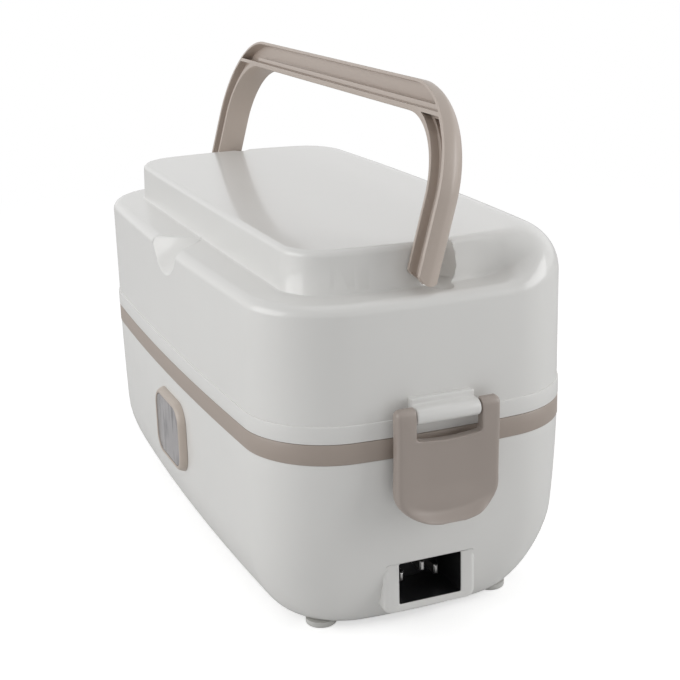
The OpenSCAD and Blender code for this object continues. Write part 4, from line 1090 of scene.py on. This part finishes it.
# Camera and studio: the box stands on a pale floor in soft daylight-white light from large
# screens in front of it, behind it and above it; the camera has the place of the photograph's.
lens_yaw, lens_pitch, lens_roll = 2.7598, -0.3007, -0.0278
lens_place = Vector((523.95, -198.92, 251.61)) * MM
focal_pixels, frame_pixels, sensor = 1419.28, 680, 36
ahead = Vector((cos(lens_yaw) * cos(lens_pitch), sin(lens_yaw) * cos(lens_pitch),
                sin(lens_pitch)))
level = ahead.cross(Vector((0, 0, 1))).normalized()
overhead = level.cross(ahead)
right = level * cos(lens_roll) + overhead * sin(lens_roll)
up = overhead * cos(lens_roll) - level * sin(lens_roll)
camera = put("camera", bpy.data.cameras.new("camera"))
camera.matrix_world = Matrix.Translation(lens_place) @ Matrix((right, up, -ahead)).transposed().to_4x4()
camera.data.sensor_width = sensor
camera.data.lens = focal_pixels / frame_pixels * sensor
bpy.context.scene.camera = camera


def maths(tree, operation, first, second):
    """The result of a Math node."""
    node = tree.nodes.new("ShaderNodeMath")
    node.operation = operation
    give(tree, node.inputs[0], first)
    give(tree, node.inputs[1], second)
    return node.outputs["Value"]


# The camera sees the floor fade into plain white away from the box; the shadow stays
floor_half, floor_grey, floor_glow, fade_from, fade_to = 3000, 0.8, 0.55, 0.28, 0.75
corners = [(a * floor_half, b * floor_half, 0) for a, b in ((-1, -1), (1, -1), (1, 1), (-1, 1))]
floor = put("floor", solid(corners, [(0, 1, 2, 3)], "floor"))
paper, tree, shader = new_finish("floor_paper")
fed(tree, shader, Base_Color=(floor_grey, floor_grey, floor_grey, 1), Roughness=0.9, Specular_IOR_Level=0.1)
seen = added(tree, "LightPath", "Is Camera Ray")
glow = maths(tree, "MULTIPLY", seen, floor_glow)
glow = added(tree, "Emission", "Emission", Color=(1, 1, 1, 1), Strength=glow)
lit = added(tree, "AddShader")
give(tree, lit.inputs[0], shader.outputs["BSDF"])
give(tree, lit.inputs[1], glow)
away = added(tree, "VectorMath")
away.operation = "LENGTH"
fed(tree, away, Vector=added(tree, "TexCoord", "Object"))
fade = added(tree, "MapRange", "Result", Value=away.outputs["Value"], From_Min=fade_from, From_Max=fade_to)
blend = added(tree, "MixShader", Fac=maths(tree, "MULTIPLY", fade, seen))
give(tree, blend.inputs[1], lit.outputs["Shader"])
give(tree, blend.inputs[2], added(tree, "Emission", "Emission", Color=(1, 1, 1, 1), Strength=1))
give(tree, tree.nodes["Material Output"].inputs["Surface"], blend.outputs["Shader"])
floor.data.materials.append(paper)

# The sky is white to the camera and in reflections, and dimmer as a light
sky_light = 0.415
world = bpy.data.worlds.new("studio")
bpy.context.scene.world = world
world.use_nodes = True
tree = world.node_tree
rays = added(tree, "LightPath").outputs
direct = maths(tree, "MAXIMUM", rays["Is Camera Ray"], rays["Is Glossy Ray"])
direct = maths(tree, "MAXIMUM", direct, rays["Is Transmission Ray"])
fed(tree, tree.nodes["Background"], Color=(1, 1, 1, 1),
    Strength=added(tree, "MapRange", "Result", Value=direct, To_Min=sky_light, To_Max=1))


def screen(name, spot, width, height, watts):
    """A soft light: a rectangular screen turned towards the middle of the box."""
    light = bpy.data.lights.new(name, "AREA")
    light.shape, light.size, light.size_y, light.energy = "RECTANGLE", width, height, watts
    way = Vector((0, 0, 0.08)) - Vector(spot)
    put(name, light).matrix_world = (Matrix.Translation(spot)
                                     @ way.to_track_quat("-Z", "Y").to_matrix().to_4x4())


screen("front_screen", (-0.1, -1.3, 0.5), 1.2, 0.9, 7.45)
screen("back_screen", (0.7, 1.2, 0.5), 0.9, 0.9, 6.9)
screen("top_screen", (0.0, 0.1, 1.4), 1.2, 1.0, 1.45)
bpy.context.scene.view_settings.view_transform = "Standard"
